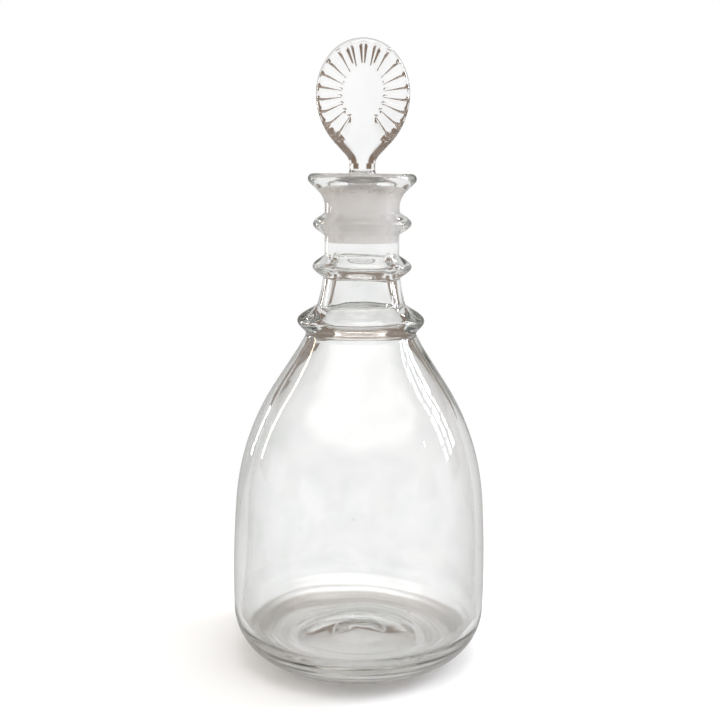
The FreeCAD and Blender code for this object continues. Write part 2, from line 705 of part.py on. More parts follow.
def make_flutes(doc, d):
    """Cutters for the moulded flutes that ray out over one face of the head."""
    centre_height = d["head_foot_rise"] + d["head_lower_height"]
    upper_swell = d["head_upper_height"] - d["head_half_width"]
    lower_swell = (d["head_lower_height"] - d["head_half_width"]) * LOWER_SWELL_SHARE
    count = int(d["flute_count"])
    cutters = []
    for number in range(count):
        angle = math.radians(d["flute_pitch"]) * (number - (count - 1) / 2)
        ray = FreeCAD.Vector(math.sin(angle), 0, math.cos(angle))
        swell = upper_swell if ray.z > 0 else lower_swell
        outline = d["head_half_width"] + swell * ray.z ** 2
        reach = outline - d["flute_border"] - d["flute_length"] / 2
        cutter = doc.addObject("Part::Ellipsoid", f"flute_{number + 1}")
        cutter.setExpression("Radius1", d["flute_depth"].formula)
        cutter.setExpression("Radius2", (d["flute_length"] / 2).formula)
        cutter.setExpression("Radius3", (d["flute_width"] / 2).formula)
        normal = FreeCAD.Vector(0, -1, 0)
        cutter.Placement = FreeCAD.Placement(
            FreeCAD.Vector(0, 0, 0), FreeCAD.Rotation(ray, normal.cross(ray), normal, "ZXY"))
        cutter.setExpression("Placement.Base.x", (reach * ray.x).formula)
        cutter.setExpression("Placement.Base.y", (-d["head_thickness"] / 2).formula)
        cutter.setExpression("Placement.Base.z", (centre_height + reach * ray.z).formula)
        cutters.append(cutter)
    front = doc.addObject("Part::MultiFuse", "front_flutes")
    front.Shapes = cutters
    back = doc.addObject("Part::Mirroring", "back_flutes")
    back.Source = front
    back.Normal = FreeCAD.Vector(0, 1, 0)
    back.Base = FreeCAD.Vector(0, 0, 0)
    return front, back


def make_stopper(doc, d):
    """The stopper: fluted head, stem and ground peg in one piece of solid glass."""
    blank = doc.addObject("PartDesign::Body", "stopper_blank")
    add_head(blank, d)
    add_peg_and_stem(blank, d)
    front, back = make_flutes(doc, d)
    fluted = doc.addObject("Part::Cut", "stopper_front")
    fluted.Base = blank
    fluted.Tool = front
    stopper = doc.addObject("Part::Cut", "stopper")
    stopper.Base = fluted
    stopper.Tool = back
    stopper.Label = "stopper"
    stopper.setExpression("Placement.Base.z", d["lip_height"].formula)
    return stopper


def check(doc, pieces):
    """Stop if an object failed, a cut removed nothing or a piece isn't one sound solid."""
    for item in doc.Objects:
        if "Invalid" in item.State or "Error" in item.State:
            raise RuntimeError(f"{item.Label} failed: {item.State}")
    for item in doc.Objects:
        if item.TypeId == "PartDesign::Groove":
            if item.BaseFeature.Shape.Volume - item.Shape.Volume < SAME:
                raise RuntimeError(f"{item.Label} cuts nothing")
        if item.TypeId == "Part::Cut":
            if item.Base.Shape.Volume - item.Shape.Volume < SAME:
                raise RuntimeError(f"{item.Label} cuts nothing")
    for piece in pieces:
        shape = piece.Shape
        if shape.isNull() or not shape.isValid() or len(shape.Solids) != 1:
            raise RuntimeError(f"{piece.Label} isn't one sound solid")


def main():
    doc = FreeCAD.newDocument("Decanter")
    d = write_sheet(doc)
    vessel = make_vessel(doc, d)
    envelope = make_envelope(doc, d)
    rings = [make_ring(doc, d, envelope, name)
             for name in ("lower_ring", "middle_ring", "upper_ring")]
    stopper = make_stopper(doc, d)
    pieces = [vessel, *rings, stopper]
    doc.recompute()
    check(doc, pieces)
    os.makedirs("parts", exist_ok=True)
    for piece in pieces:
        piece.Shape.exportStep(f"parts/{piece.Label}.step")
        print(f"{piece.Label}: {piece.Shape.Volume:.1f} mm3, {piece.Shape.BoundBox}")


main()
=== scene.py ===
import math

import bmesh
import bpy
import numpy as np
from mathutils import Matrix, Vector
from mathutils.kdtree import KDTree


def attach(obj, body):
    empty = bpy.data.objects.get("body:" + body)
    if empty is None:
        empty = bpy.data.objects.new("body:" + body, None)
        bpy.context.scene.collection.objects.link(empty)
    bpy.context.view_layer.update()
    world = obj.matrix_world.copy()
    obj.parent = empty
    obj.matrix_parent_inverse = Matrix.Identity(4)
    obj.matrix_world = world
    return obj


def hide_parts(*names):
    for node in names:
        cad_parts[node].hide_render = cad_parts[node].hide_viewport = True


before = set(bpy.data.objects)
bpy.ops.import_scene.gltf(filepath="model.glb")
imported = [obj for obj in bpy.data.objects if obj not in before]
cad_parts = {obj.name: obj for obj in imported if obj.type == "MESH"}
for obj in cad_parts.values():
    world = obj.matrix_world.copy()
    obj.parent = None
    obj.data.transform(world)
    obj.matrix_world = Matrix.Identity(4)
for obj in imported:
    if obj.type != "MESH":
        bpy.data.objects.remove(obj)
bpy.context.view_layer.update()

# A glass decanter with a fluted stopper. Shapes are worked out in millimetres, as in the
# part's source, and become metres when a mesh is made. Angles are in degrees where nothing
# else is said, and phases in radians.
MM = 0.001
TURN = 2 * math.pi

# The body: its widest place, the bends of its side and corner, and the straight slope between
# the shoulder and the neck.
BODY_RADIUS = 55.4
BELLY_HEIGHT = 35.0
SIDE_RADIUS = 448.0
CORNER_RADIUS = 22.5
SHOULDER_SLOPE = 33.0
SLOPE_SHARE = 0.383

# The neck and the flared lip.
NECK_RADIUS = 15.95
NECK_SWEEP_TOP = 176.8
NECK_SWEEP_RADIUS = 78.0
LIP_HEIGHT = 210.7
LIP_RADIUS = 22.95
LIP_EDGE_RADIUS = 2.2
LIP_SWEEP_RADIUS = 9.0
LIP_SLOPE = 45.0

# The inside, and the push-up under the base with its pontil hollow.
WALL = 3.6
BORE_RADIUS = 11.2
BORE_SWEEP_RADIUS = 84.0
FLOOR_HEIGHT = 7.2
FLOOR_RISE = 4.6
INNER_CORNER_RADIUS = 16.0
KICK_RADIUS = 26.5
KICK_RISE = 4.2
PONTIL_RADIUS = 11.0
PONTIL_DEPTH = 1.3

# The tapered seat in the neck and the mouth over it. The mouth's wall is ground too, as far as
# the last of these over the seat's top.
SEAT_TOP = 200.3
SEAT_LENGTH = 18.5
SEAT_WIDENING = 1.1
MOUTH_SWEEP_RADIUS = 17.0
MOUTH_EDGE_RADIUS = 1.0
GROUND_ABOVE = 8.0

# The neck's rings: height, reach, half the width, how peaked, and where round the neck, in
# radians, the trail's ends lap over each other.
RINGS = [
    (149.3, 6.5, 6.1, 1.30, 2.2),
    (171.8, 5.35, 4.8, 1.10, 3.6),
    (189.8, 5.3, 4.7, 1.15, 0.9),
]

# The lap of a ring: a swell with a dip beside it. Places and spreads are in radians.
LAP_SWELL = 0.22
LAP_SWELL_SPREAD = 0.16
LAP_DIP = 0.30
LAP_DIP_PLACE = 0.26
LAP_DIP_SPREAD = 0.07

# The unevenness of hand-made glass, as waves round the axis. Each row is a wave's size, how
# often it comes round, its phase, and how far the phase runs on per millimetre up or out. In
# the rings the phase runs on with the place of the lap instead.
RING_LEVEL_WAVES = [(0.16, 1, 0.0, 1.0), (0.07, 3, 0.0, 2.0)]
RING_WIDTH_WAVES = [(0.03, 2, 0.0, 1.0)]
RING_REACH_WAVES = [(0.13, 1, 0.0, 2.0), (0.07, 3, 0.0, -1.0)]
OUTER_WAVES = [(0.08, 2, 0.6, 1 / 90), (0.05, 3, -1.1, 1 / 60), (0.025, 5, 2.0, 1 / 28)]
INNER_WAVES = [(0.20, 3, 0.0, 1 / 50), (0.12, 4, 1.0, -1 / 35), (0.07, 7, 2.0, 1 / 17),
               (0.035, 12, 0.0, -1 / 9)]
FLOOR_SWIRL = [(0.22, 2, 0.0, 1 / 5), (0.11, 5, 0.0, -1 / 3)]
FOOT_WAVES = [(0.10, 3, 0.0, 1 / 3), (0.05, 7, 0.0, 0.0)]
CORNER_WAVER = [(0.9, 1, 0.7, 0.0), (0.5, 2, 0.0, 0.0)]

# The ripples in the inner corner: their size, and the phase per millimetre out and up.
CORNER_RIPPLE = 0.20
CORNER_RIPPLE_OUT = 1.7
CORNER_RIPPLE_UP = 1 / 3

# How far the outside and the rings keep within their full sizes, to leave the waves room.
OUTER_INSET = 0.16
RING_INSET = 0.25

# Where the unevenness sets in, from none of it at the first number to all at the second. The
# first six are heights and the other four radii.
OUTER_ABOVE_FOOT = (1.0, 14.0)
OUTER_BELOW_LIP = (208.0, 198.0)
INNER_BELOW_SEAT = (178.0, 150.0)
INNER_ABOVE_FLOOR = (12.0, 24.0)
SWIRL_BELOW_WALL = (20.0, 11.0)
RIPPLE_BELOW_WALL = (24.0, 17.0)
RIPPLE_OFF_FLOOR = (24.0, 31.0)
INNER_OFF_AXIS = (0.5, 12.0)
FOOT_OFF_AXIS = (1.0, 8.0)
FOOT_WITHIN_KICK = (25.0, 20.0)

# Air bubbles, in the base and in the wall: how many, between which radii or heights they lie,
# how they crowd outwards, their least and greatest size, and how they are drawn out.
BUBBLE_DRAW = 7
BASE_SEEDS = 34
BASE_SEED_REACH = (12.0, 42.0)
BASE_SEED_CROWDING = 0.7
BASE_SEED_SIZE = (0.2, 0.54)
BASE_SEED_STRETCH = (1.0, 1.0, 0.7)
WALL_SEEDS = 12
WALL_SEED_HEIGHTS = (22.0, 82.0)
WALL_SEED_SIZE = (0.12, 0.26)
WALL_SEED_STRETCH = (1.0, 1.0, 1.6)

# The lowest and highest bubbles of the base. Those over the push-up lie higher.
SEED_LOW_OUTSIDE = 1.6
SEED_LOW_OVER_KICK = 4.6
SEED_OUTSIDE_FROM = 26.0
SEED_TOP_MARGIN = 1.4
SEED_MIDDLE_RISE = 0.9
SEED_MIDDLE_TO = 22.0

# The stopper's ground peg, its shoulder and its stem.
SEAT_CLEARANCE = 0.05
PEG_SHORT = 0.6
PEG_ABOVE = 2.1
PEG_BEVEL = 0.8
PEG_CROWN = 1.1
PEG_SHOULDER_RADIUS = 6.5
STEM_FILLET = 4.0
STEM_RADIUS = 5.4
STEM_SINK = 3.0

# The stopper's head: its outline, its thickness and the bevel at its foot, which sets in
# between two heights about the head's middle.
HEAD_FOOT_HEIGHT = 214.9
HEAD_FOOT_HALF_WIDTH = 5.55
HEAD_FOOT_SWEEP = 4.5
HEAD_CENTRE_HEIGHT = 243.3
HEAD_UPPER = 22.57
HEAD_HALF_WIDTH = 19.5
HEAD_HANDOVER = 37.2
HEAD_ARC_SHARE = 0.705
HEAD_THICKNESS = 12.0
HEAD_EDGE_ROUND = 3.4
BEVEL_WIDTH = 4.3
BEVEL_RISE_SHARE = 0.36
BEVEL_HEIGHTS = (-12.5, -16.5)

# The flutes: their number and pitch, the smooth oval that they start from, unevenly, and the
# plain border that they end at. Each is a groove that widens outwards, with a rounded floor
# and rounded edges. What is shallower than the least depth stays flat.
FLUTES = 19
FLUTE_PITCH = 16.8
FLUTE_BORDER = 1.3
SMOOTH_HALF_WIDTH = 7.9
SMOOTH_HALF_HEIGHT = 10.4
FLUTE_START_UNEVEN = 0.25
FLUTE_START_CYCLE = 7
FLUTE_HALF_WIDTH = 0.40
FLUTE_WIDENING = 0.122
FLUTE_SLOPE_SHARE = 0.31
FLUTE_FULLNESS = 1.26
FLUTE_FLOOR_ROUND = 0.26
FLUTE_EDGE_ROUND = 0.002
FLUTE_END_POWER = 6
FLUTE_OVERRUN_SHARE = 0.2
FLUTE_LEAST_DEPTH = 0.03

# How fine the shapes are: the steps between the points of an outline, rounds of softening,
# the gaps between the outline's points that the vessel's mesh keeps, and columns and rows.
LONG_STEP = 0.35
BEND_STEP = 0.25
FINE_STEP = 0.2
EDGE_STEP = 0.15
HEAD_STEP = 0.05
GROUND_STEP = 0.5
HIDDEN_STEP = 1.0
VESSEL_SOFTENING = 3
PEG_SOFTENING = 2
LIP_GAP = 0.3
LIP_GAP_FROM = 200.0
BASE_GAP = 0.55
BASE_GAP_TO = 30.0
NECK_GAP = 0.35
NECK_GAP_FROM = 145.0
WALL_GAP = 1.1
VESSEL_COLUMNS = 240
PEG_COLUMNS = 192
HEAD_COLUMNS = 512
HEAD_MIDDLE_SHARE = 0.34
HEAD_MIDDLE_ROWS = 6
HEAD_FACE_ROWS = 57
HEAD_EDGE_ROWS = 17
HEAD_RIM_ROWS = 5
SEED_SUBDIVISIONS = 3
BISECTIONS = 50
SHARP_ANGLE = 60.0


# Outlines

def arc(centre, radius, start, end, step=LONG_STEP):
    """Points along an arc; the angles are in radians."""
    count = max(3, math.ceil(abs(end - start) * radius / step))
    angles = np.linspace(start, end, count + 1)
    return np.column_stack((centre[0] + radius * np.cos(angles),
                            centre[1] + radius * np.sin(angles)))


def line(start, end, step=LONG_STEP):
    """Points along a straight line."""
    count = max(1, math.ceil(math.dist(start, end) / step))
    share = np.linspace(0, 1, count + 1)[:, None]
    return np.array(start) * (1 - share) + np.array(end) * share


def direction(centre, point):
    """Angle of a point as seen from a centre, in radians."""
    return math.atan2(point[1] - centre[1], point[0] - centre[0])


def chain(*parts):
    """One run of points from several, without the doubled joints."""
    points = [parts[0][0]]
    for part in parts:
        points.extend(part[1:])
    return np.array(points)


def soften(points, rounds):
    """Round the corners of a run of points a little; its ends stay where they are."""
    points = points.copy()
    for _ in range(rounds):
        middle = 0.25 * points[:-2] + 0.5 * points[1:-1] + 0.25 * points[2:]
        points[1:-1] = middle
    return points


def dome(rim_radius, rim_height, crown_height):
    """A shallow dome from the axis out to its rim."""
    rise = crown_height - rim_height
    bend = (rim_radius ** 2 + rise ** 2) / (2 * rise)
    centre = (0.0, crown_height - bend)
    return arc(centre, bend, math.pi / 2, direction(centre, (rim_radius, rim_height)))


def wall_runs(inset):
    """Corner, side, shoulder and slope of the vessel, moved into the glass by inset."""
    slope = math.radians(SHOULDER_SLOPE)
    along = np.array((math.sin(slope), -math.cos(slope)))
    inward = np.array((-math.cos(slope), -math.sin(slope)))
    top = np.array((NECK_RADIUS + NECK_SWEEP_RADIUS, NECK_SWEEP_TOP)) + NECK_SWEEP_RADIUS * inward
    side = np.array((BODY_RADIUS - SIDE_RADIUS, BELLY_HEIGHT))
    gap = top - side
    spread = gap @ along
    run = SLOPE_SHARE * (math.sqrt(spread ** 2 + SIDE_RADIUS ** 2 - gap @ gap) - spread)
    low = top + run * along
    gap = low - side
    bend = (SIDE_RADIUS ** 2 - gap @ gap) / (2 * (gap @ inward + SIDE_RADIUS))
    shoulder = low + bend * inward
    floor, corner_bend = (0.0, CORNER_RADIUS) if inset == 0 else (FLOOR_HEIGHT, INNER_CORNER_RADIUS)
    side_bend = SIDE_RADIUS - inset
    rise = floor + corner_bend - BELLY_HEIGHT
    corner = (side[0] + math.sqrt((side_bend - corner_bend) ** 2 - rise ** 2), floor + corner_bend)
    handover = direction(side, shoulder)
    return {
        "corner": arc(corner, corner_bend, -math.pi / 2, direction(side, corner)),
        "side": arc(side, side_bend, direction(side, corner), handover),
        "shoulder": arc(shoulder, bend - inset, handover, slope),
        "slope_start": low + inset * inward,
        "slope_end": top + inset * inward,
        "foot": (corner[0], floor),
    }


def kick_run():
    """Under the base, from the axis across the pontil hollow and the push-up to the foot."""
    bend = (KICK_RADIUS ** 2 + KICK_RISE ** 2) / (2 * KICK_RISE)
    centre = (0.0, KICK_RISE - bend)
    pontil_rim = centre[1] + math.sqrt(bend ** 2 - PONTIL_RADIUS ** 2)
    kick = arc(centre, bend, direction(centre, (PONTIL_RADIUS, pontil_rim)),
               direction(centre, (KICK_RADIUS, 0.0)))
    return chain(dome(PONTIL_RADIUS, pontil_rim, KICK_RISE + PONTIL_DEPTH), kick)


def lip_run():
    """The neck's straight outside, the flare above it and the lip's outer edge."""
    tilt = math.radians(LIP_SLOPE)
    edge_centre = (LIP_RADIUS - LIP_EDGE_RADIUS, LIP_HEIGHT - LIP_EDGE_RADIUS)
    edge = arc(edge_centre, LIP_EDGE_RADIUS, -tilt, math.pi / 2, EDGE_STEP)
    run = edge[0][0] - NECK_RADIUS - LIP_SWEEP_RADIUS * (1 - math.cos(tilt))
    run = run / math.sin(tilt)
    slope_start = edge[0] - run * np.array((math.sin(tilt), math.cos(tilt)))
    start = (NECK_RADIUS, slope_start[1] - LIP_SWEEP_RADIUS * math.sin(tilt))
    sweep = arc((NECK_RADIUS + LIP_SWEEP_RADIUS, start[1]), LIP_SWEEP_RADIUS,
                math.pi, math.pi - tilt, BEND_STEP)
    return chain(line((NECK_RADIUS, NECK_SWEEP_TOP), start, FINE_STEP), sweep,
                 line(slope_start, edge[0]), edge)


def mouth_run():
    """The lip's flat top, the mouth's edge, its sweep, and the seat down to its foot."""
    lean = math.atan(SEAT_WIDENING / SEAT_LENGTH)
    seat_radius = BORE_RADIUS + SEAT_WIDENING
    centre = (seat_radius + MOUTH_SWEEP_RADIUS * math.cos(lean),
              SEAT_TOP - MOUTH_SWEEP_RADIUS * math.sin(lean))
    rise = LIP_HEIGHT - MOUTH_EDGE_RADIUS - centre[1]
    reach = math.sqrt((MOUTH_SWEEP_RADIUS - MOUTH_EDGE_RADIUS) ** 2 - rise ** 2)
    edge_centre = (centre[0] - reach, LIP_HEIGHT - MOUTH_EDGE_RADIUS)
    meeting = direction(centre, edge_centre)
    return chain(
        line((LIP_RADIUS - LIP_EDGE_RADIUS, LIP_HEIGHT), (edge_centre[0], LIP_HEIGHT)),
        arc(edge_centre, MOUTH_EDGE_RADIUS, math.pi / 2, meeting, EDGE_STEP),
        arc(centre, MOUTH_SWEEP_RADIUS, meeting, math.pi - lean, BEND_STEP),
        line((seat_radius, SEAT_TOP), (BORE_RADIUS, SEAT_TOP - SEAT_LENGTH)))


def vessel_outline():
    """Outline of the vessel's glass, from under the base up and over the lip to the floor.

    Gives the points and how many of them belong to the outside.
    """
    outer = wall_runs(0.0)
    inner = wall_runs(WALL)
    slope = math.radians(SHOULDER_SLOPE)
    sweep_centre = (NECK_RADIUS + NECK_SWEEP_RADIUS, NECK_SWEEP_TOP)
    outside = chain(
        kick_run(),
        line((KICK_RADIUS, 0.0), outer["foot"]),
        outer["corner"], outer["side"], outer["shoulder"],
        line(outer["slope_start"], outer["slope_end"]),
        arc(sweep_centre, NECK_SWEEP_RADIUS, math.pi + slope, math.pi, BEND_STEP),
        lip_run())

    half_slope = math.tan(slope / 2)
    bore_start = NECK_SWEEP_TOP - NECK_SWEEP_RADIUS * half_slope - WALL / math.sin(slope)
    bore_start += (NECK_RADIUS - BORE_RADIUS) / math.tan(slope) + BORE_SWEEP_RADIUS * half_slope
    bore_centre = (BORE_RADIUS + BORE_SWEEP_RADIUS, bore_start)
    bore_sweep = arc(bore_centre, BORE_SWEEP_RADIUS, math.pi, math.pi + slope)
    inside = chain(
        line((BORE_RADIUS, SEAT_TOP - SEAT_LENGTH), (BORE_RADIUS, bore_start)),
        bore_sweep,
        line(bore_sweep[-1], inner["slope_start"]),
        inner["shoulder"][::-1], inner["side"][::-1], inner["corner"][::-1],
        line(inner["foot"], (KICK_RADIUS, FLOOR_HEIGHT)),
        dome(KICK_RADIUS, FLOOR_HEIGHT, FLOOR_HEIGHT + FLOOR_RISE)[::-1])
    points = chain(soften(outside, VESSEL_SOFTENING), mouth_run(),
                   soften(inside, VESSEL_SOFTENING))
    return points, len(outside)


# Meshes

def turned_mesh(name, rings, slots):
    """A closed turned mesh from rings of points; the first and last rings are single points.

    rings has one row of points for each place along the outline. slots gives the material
    slot of the faces between each place and the next.
    """
    first, last = rings[0][0], rings[-1][0]
    grid = rings[1:-1]
    count = grid.shape[1]
    verts = [first, *grid.reshape(-1, 3), last]
    faces = []
    materials = []
    for row in range(len(grid) - 1):
        base = 1 + row * count
        for place in range(count):
            after = (place + 1) % count
            faces.append((base + place, base + after, base + count + after, base + count + place))
            materials.append(slots[row + 1])
    end = len(verts) - 1
    base = 1 + (len(grid) - 1) * count
    for place in range(count):
        after = (place + 1) % count
        faces.append((0, 1 + after, 1 + place))
        materials.append(slots[0])
        faces.append((base + place, base + after, end))
        materials.append(slots[-1])
    mesh = bpy.data.meshes.new(name)
    mesh.from_pydata([Vector(v) * MM for v in verts], [], faces)
    mesh.polygons.foreach_set("material_index", materials)
    mesh.update()
    face_outward(mesh)
    return mesh


def face_outward(mesh):
    """Turn every face of a closed mesh so that the glass lies behind it."""
    bm = bmesh.new()
    bm.from_mesh(mesh)
    bmesh.ops.recalc_face_normals(bm, faces=bm.faces)
    if bm.calc_volume(signed=True) < 0:
        bmesh.ops.reverse_faces(bm, faces=bm.faces)
    bm.to_mesh(mesh)
    bm.free()


def smooth_step(low, high, value):
    """Runs smoothly from 0 at low to 1 at high; high may lie under low."""
    share = np.clip((value - low) / (high - low), 0.0, 1.0)
    return share * share * (3 - 2 * share)


def waves(turn, along, rows):
    """The sum of waves round the axis, one for each row of a table of unevenness."""
    return sum(size * np.sin(count * turn + phase + drift * along)
               for size, count, phase, drift in rows)


def between(limits, share):
    """The value at a share of the way from the first limit to the second."""
    return limits[0] + (limits[1] - limits[0]) * share


# The vessel

def ring_reach(turn, height):
    """How far the applied rings stand out of the neck; each is a trail laid on by hand."""
    reach = np.zeros_like(turn)
    for level, most, half, peak, lap in RINGS:
        centre = level + waves(turn, lap, RING_LEVEL_WAVES)
        width = half * (1 + waves(turn, lap, RING_WIDTH_WAVES))
        across = np.clip(np.abs(height - centre) / width, 0.0, 1.0)
        body = np.cos(across * math.pi / 2) ** peak
        away = np.angle(np.exp(1j * (turn - lap)))
        swell = LAP_SWELL * np.exp(-(away / LAP_SWELL_SPREAD) ** 2)
        dip = LAP_DIP * np.exp(-((away - LAP_DIP_PLACE) / LAP_DIP_SPREAD) ** 2)
        uneven = waves(turn, lap, RING_REACH_WAVES) - RING_INSET
        reach += body * (most + uneven + swell - dip)
    return reach


def outer_ring(radius, height, turn):
    """Radius and height round the vessel's outside at one place of its outline.

    The walls wave in and out, and the lowest part of the foot waves up and down.
    """
    if height > OUTER_ABOVE_FOOT[0]:
        fade = smooth_step(*OUTER_ABOVE_FOOT, height) * smooth_step(*OUTER_BELOW_LIP, height)
        radius = radius + fade * (waves(turn, height, OUTER_WAVES) - OUTER_INSET)
        return radius + ring_reach(turn, height), height
    fade = smooth_step(*FOOT_OFF_AXIS, radius) * smooth_step(*FOOT_WITHIN_KICK, radius)
    return radius, height + fade * waves(turn, radius, FOOT_WAVES)


def inner_ring(radius, height, turn):
    """Radius and height round the vessel's inside at one place of its outline.

    The walls wave, the inner corner is rippled and the floor is swirled.
    """
    fade = smooth_step(*INNER_OFF_AXIS, radius) * smooth_step(*INNER_BELOW_SEAT, height)
    wobble = fade * waves(turn, height, INNER_WAVES) * smooth_step(*INNER_ABOVE_FLOOR, height)
    phase = CORNER_RIPPLE_OUT * radius + CORNER_RIPPLE_UP * height + waves(turn, 0, CORNER_WAVER)
    corner = smooth_step(*RIPPLE_OFF_FLOOR, radius) * smooth_step(*RIPPLE_BELOW_WALL, height)
    swirl = fade * waves(turn, radius, FLOOR_SWIRL) * smooth_step(*SWIRL_BELOW_WALL, height)
    return radius + wobble, height + corner * CORNER_RIPPLE * np.sin(phase) + swirl


def needed_places(outline, outside_count, slots):
    """Places of the outline that the mesh needs: wide apart on plain walls, close elsewhere."""
    kept = [0]
    for place, (radius, height) in enumerate(outline[:-1]):
        if height > LIP_GAP_FROM:
            gap = LIP_GAP
        elif height < BASE_GAP_TO:
            gap = BASE_GAP
        elif height > NECK_GAP_FROM and place < outside_count:
            gap = NECK_GAP
        else:
            gap = WALL_GAP
        away = math.dist(outline[kept[-1]], (radius, height))
        if away >= gap or (place > 0 and slots[place] != slots[place - 1]):
            kept.append(place)
    return kept + [len(outline) - 1]


def vessel_mesh():
    """The blown vessel and its rings as one piece of glass, a little uneven all over.

    Its second material slot is the ground glass, from the seat's foot up the mouth's wall.
    """
    outline, outside_count = vessel_outline()
    slots = [int(place >= outside_count
                 and SEAT_TOP - SEAT_LENGTH < height < SEAT_TOP + GROUND_ABOVE)
             for place, (_, height) in enumerate(outline)]
    turn = np.arange(VESSEL_COLUMNS) / VESSEL_COLUMNS * TURN
    kept = needed_places(outline, outside_count, slots)
    rings = np.zeros((len(kept), VESSEL_COLUMNS, 3))
    for row, place in enumerate(kept):
        ring = outer_ring if place < outside_count else inner_ring
        r, z = ring(*outline[place], turn)
        rings[row] = np.column_stack((r * np.cos(turn), r * np.sin(turn), z + 0 * turn))
    return turned_mesh("vessel_glass", rings, [slots[place] for place in kept])


def add_seeds(mesh, places):
    """Small air bubbles inside the glass: closed hollows whose faces look at the air."""
    bm = bmesh.new()
    bm.from_mesh(mesh)
    for centre, radius, stretch in places:
        matrix = Matrix.Translation(Vector(centre) * MM) @ Matrix.Diagonal((*stretch, 1.0))
        made = bmesh.ops.create_icosphere(bm, subdivisions=SEED_SUBDIVISIONS,
                                          radius=radius * MM, matrix=matrix)
        faces = {face for vert in made["verts"] for face in vert.link_faces}
        bmesh.ops.reverse_faces(bm, faces=list(faces))
    bm.to_mesh(mesh)
    bm.free()


def seed_places():
    """Where the bubbles lie: most in the thick glass of the base, a few in the wall."""
    random = np.random.default_rng(BUBBLE_DRAW)
    places = []
    for _ in range(BASE_SEEDS):
        radius = between(BASE_SEED_REACH, random.random() ** BASE_SEED_CROWDING)
        turn = TURN * random.random()
        low = SEED_LOW_OUTSIDE if radius > SEED_OUTSIDE_FROM else SEED_LOW_OVER_KICK
        height = between((low, FLOOR_HEIGHT - SEED_TOP_MARGIN), random.random())
        if radius < SEED_MIDDLE_TO:
            height += SEED_MIDDLE_RISE
        size = between(BASE_SEED_SIZE, random.random() ** 2)
        places.append(((radius * math.cos(turn), radius * math.sin(turn), height), size,
                       BASE_SEED_STRETCH))
    for _ in range(WALL_SEEDS):
        height = between(WALL_SEED_HEIGHTS, random.random())
        turn = TURN * random.random()
        side = math.sqrt(SIDE_RADIUS ** 2 - (height - BELLY_HEIGHT) ** 2)
        radius = BODY_RADIUS - SIDE_RADIUS + side - WALL / 2
        size = between(WALL_SEED_SIZE, random.random())
        places.append(((radius * math.cos(turn), radius * math.sin(turn), height), size,
                       WALL_SEED_STRETCH))
    return places


# The stopper

def peg_runs():
    """Outline of the ground peg, its shoulder and the stem, from the axis below upwards.

    Gives three runs: the rounded end with its bevel, the ground side, and all above that.
    """
    taper = SEAT_WIDENING / SEAT_LENGTH
    seat_low = SEAT_TOP - SEAT_LENGTH
    low = seat_low + PEG_SHORT
    top = SEAT_TOP + PEG_ABOVE
    end_radius = BORE_RADIUS + taper * PEG_SHORT - SEAT_CLEARANCE
    top_radius = BORE_RADIUS + taper * (top - seat_low) - SEAT_CLEARANCE
    flat = end_radius - PEG_BEVEL
    crown_bend = (flat ** 2 + PEG_CROWN ** 2) / (2 * PEG_CROWN)
    crown_centre = (0.0, low - PEG_CROWN + crown_bend)
    crown = arc(crown_centre, crown_bend, -math.pi / 2, direction(crown_centre, (flat, low)))
    bevel_end = (end_radius + taper * PEG_BEVEL, low + PEG_BEVEL)
    lean = math.atan(taper)
    shoulder = (top_radius - PEG_SHOULDER_RADIUS * math.cos(lean),
                top + PEG_SHOULDER_RADIUS * math.sin(lean))
    both = PEG_SHOULDER_RADIUS + STEM_FILLET
    across = STEM_RADIUS + STEM_FILLET - shoulder[0]
    fillet_centre = (STEM_RADIUS + STEM_FILLET, shoulder[1] + math.sqrt(both ** 2 - across ** 2))
    waist = direction(shoulder, fillet_centre)
    stem_top = HEAD_FOOT_HEIGHT + STEM_SINK
    end = soften(chain(crown, line((flat, low), bevel_end, FINE_STEP)), PEG_SOFTENING)
    ground = line(bevel_end, (top_radius, top), GROUND_STEP)
    above = chain(
        arc(shoulder, PEG_SHOULDER_RADIUS, -lean, waist, BEND_STEP),
        arc(fillet_centre, STEM_FILLET, waist + math.pi, math.pi, BEND_STEP),
        line((STEM_RADIUS, fillet_centre[1]), (STEM_RADIUS, stem_top)),
        line((STEM_RADIUS, stem_top), (0.0, stem_top), HIDDEN_STEP))
    return end, ground, above


def peg_mesh():
    """The peg, its shoulder and the stem; the second material slot is the ground side."""
    end, ground, above = peg_runs()
    outline = chain(end, ground, above)
    turn = np.arange(PEG_COLUMNS) / PEG_COLUMNS * TURN
    rings = np.array([np.column_stack((r * np.cos(turn), r * np.sin(turn), z + 0 * turn))
                      for r, z in outline])
    start = len(end) - 1
    slots = [int(start <= place < start + len(ground) - 1) for place in range(len(outline))]
    return turned_mesh("stopper_peg", rings, slots)


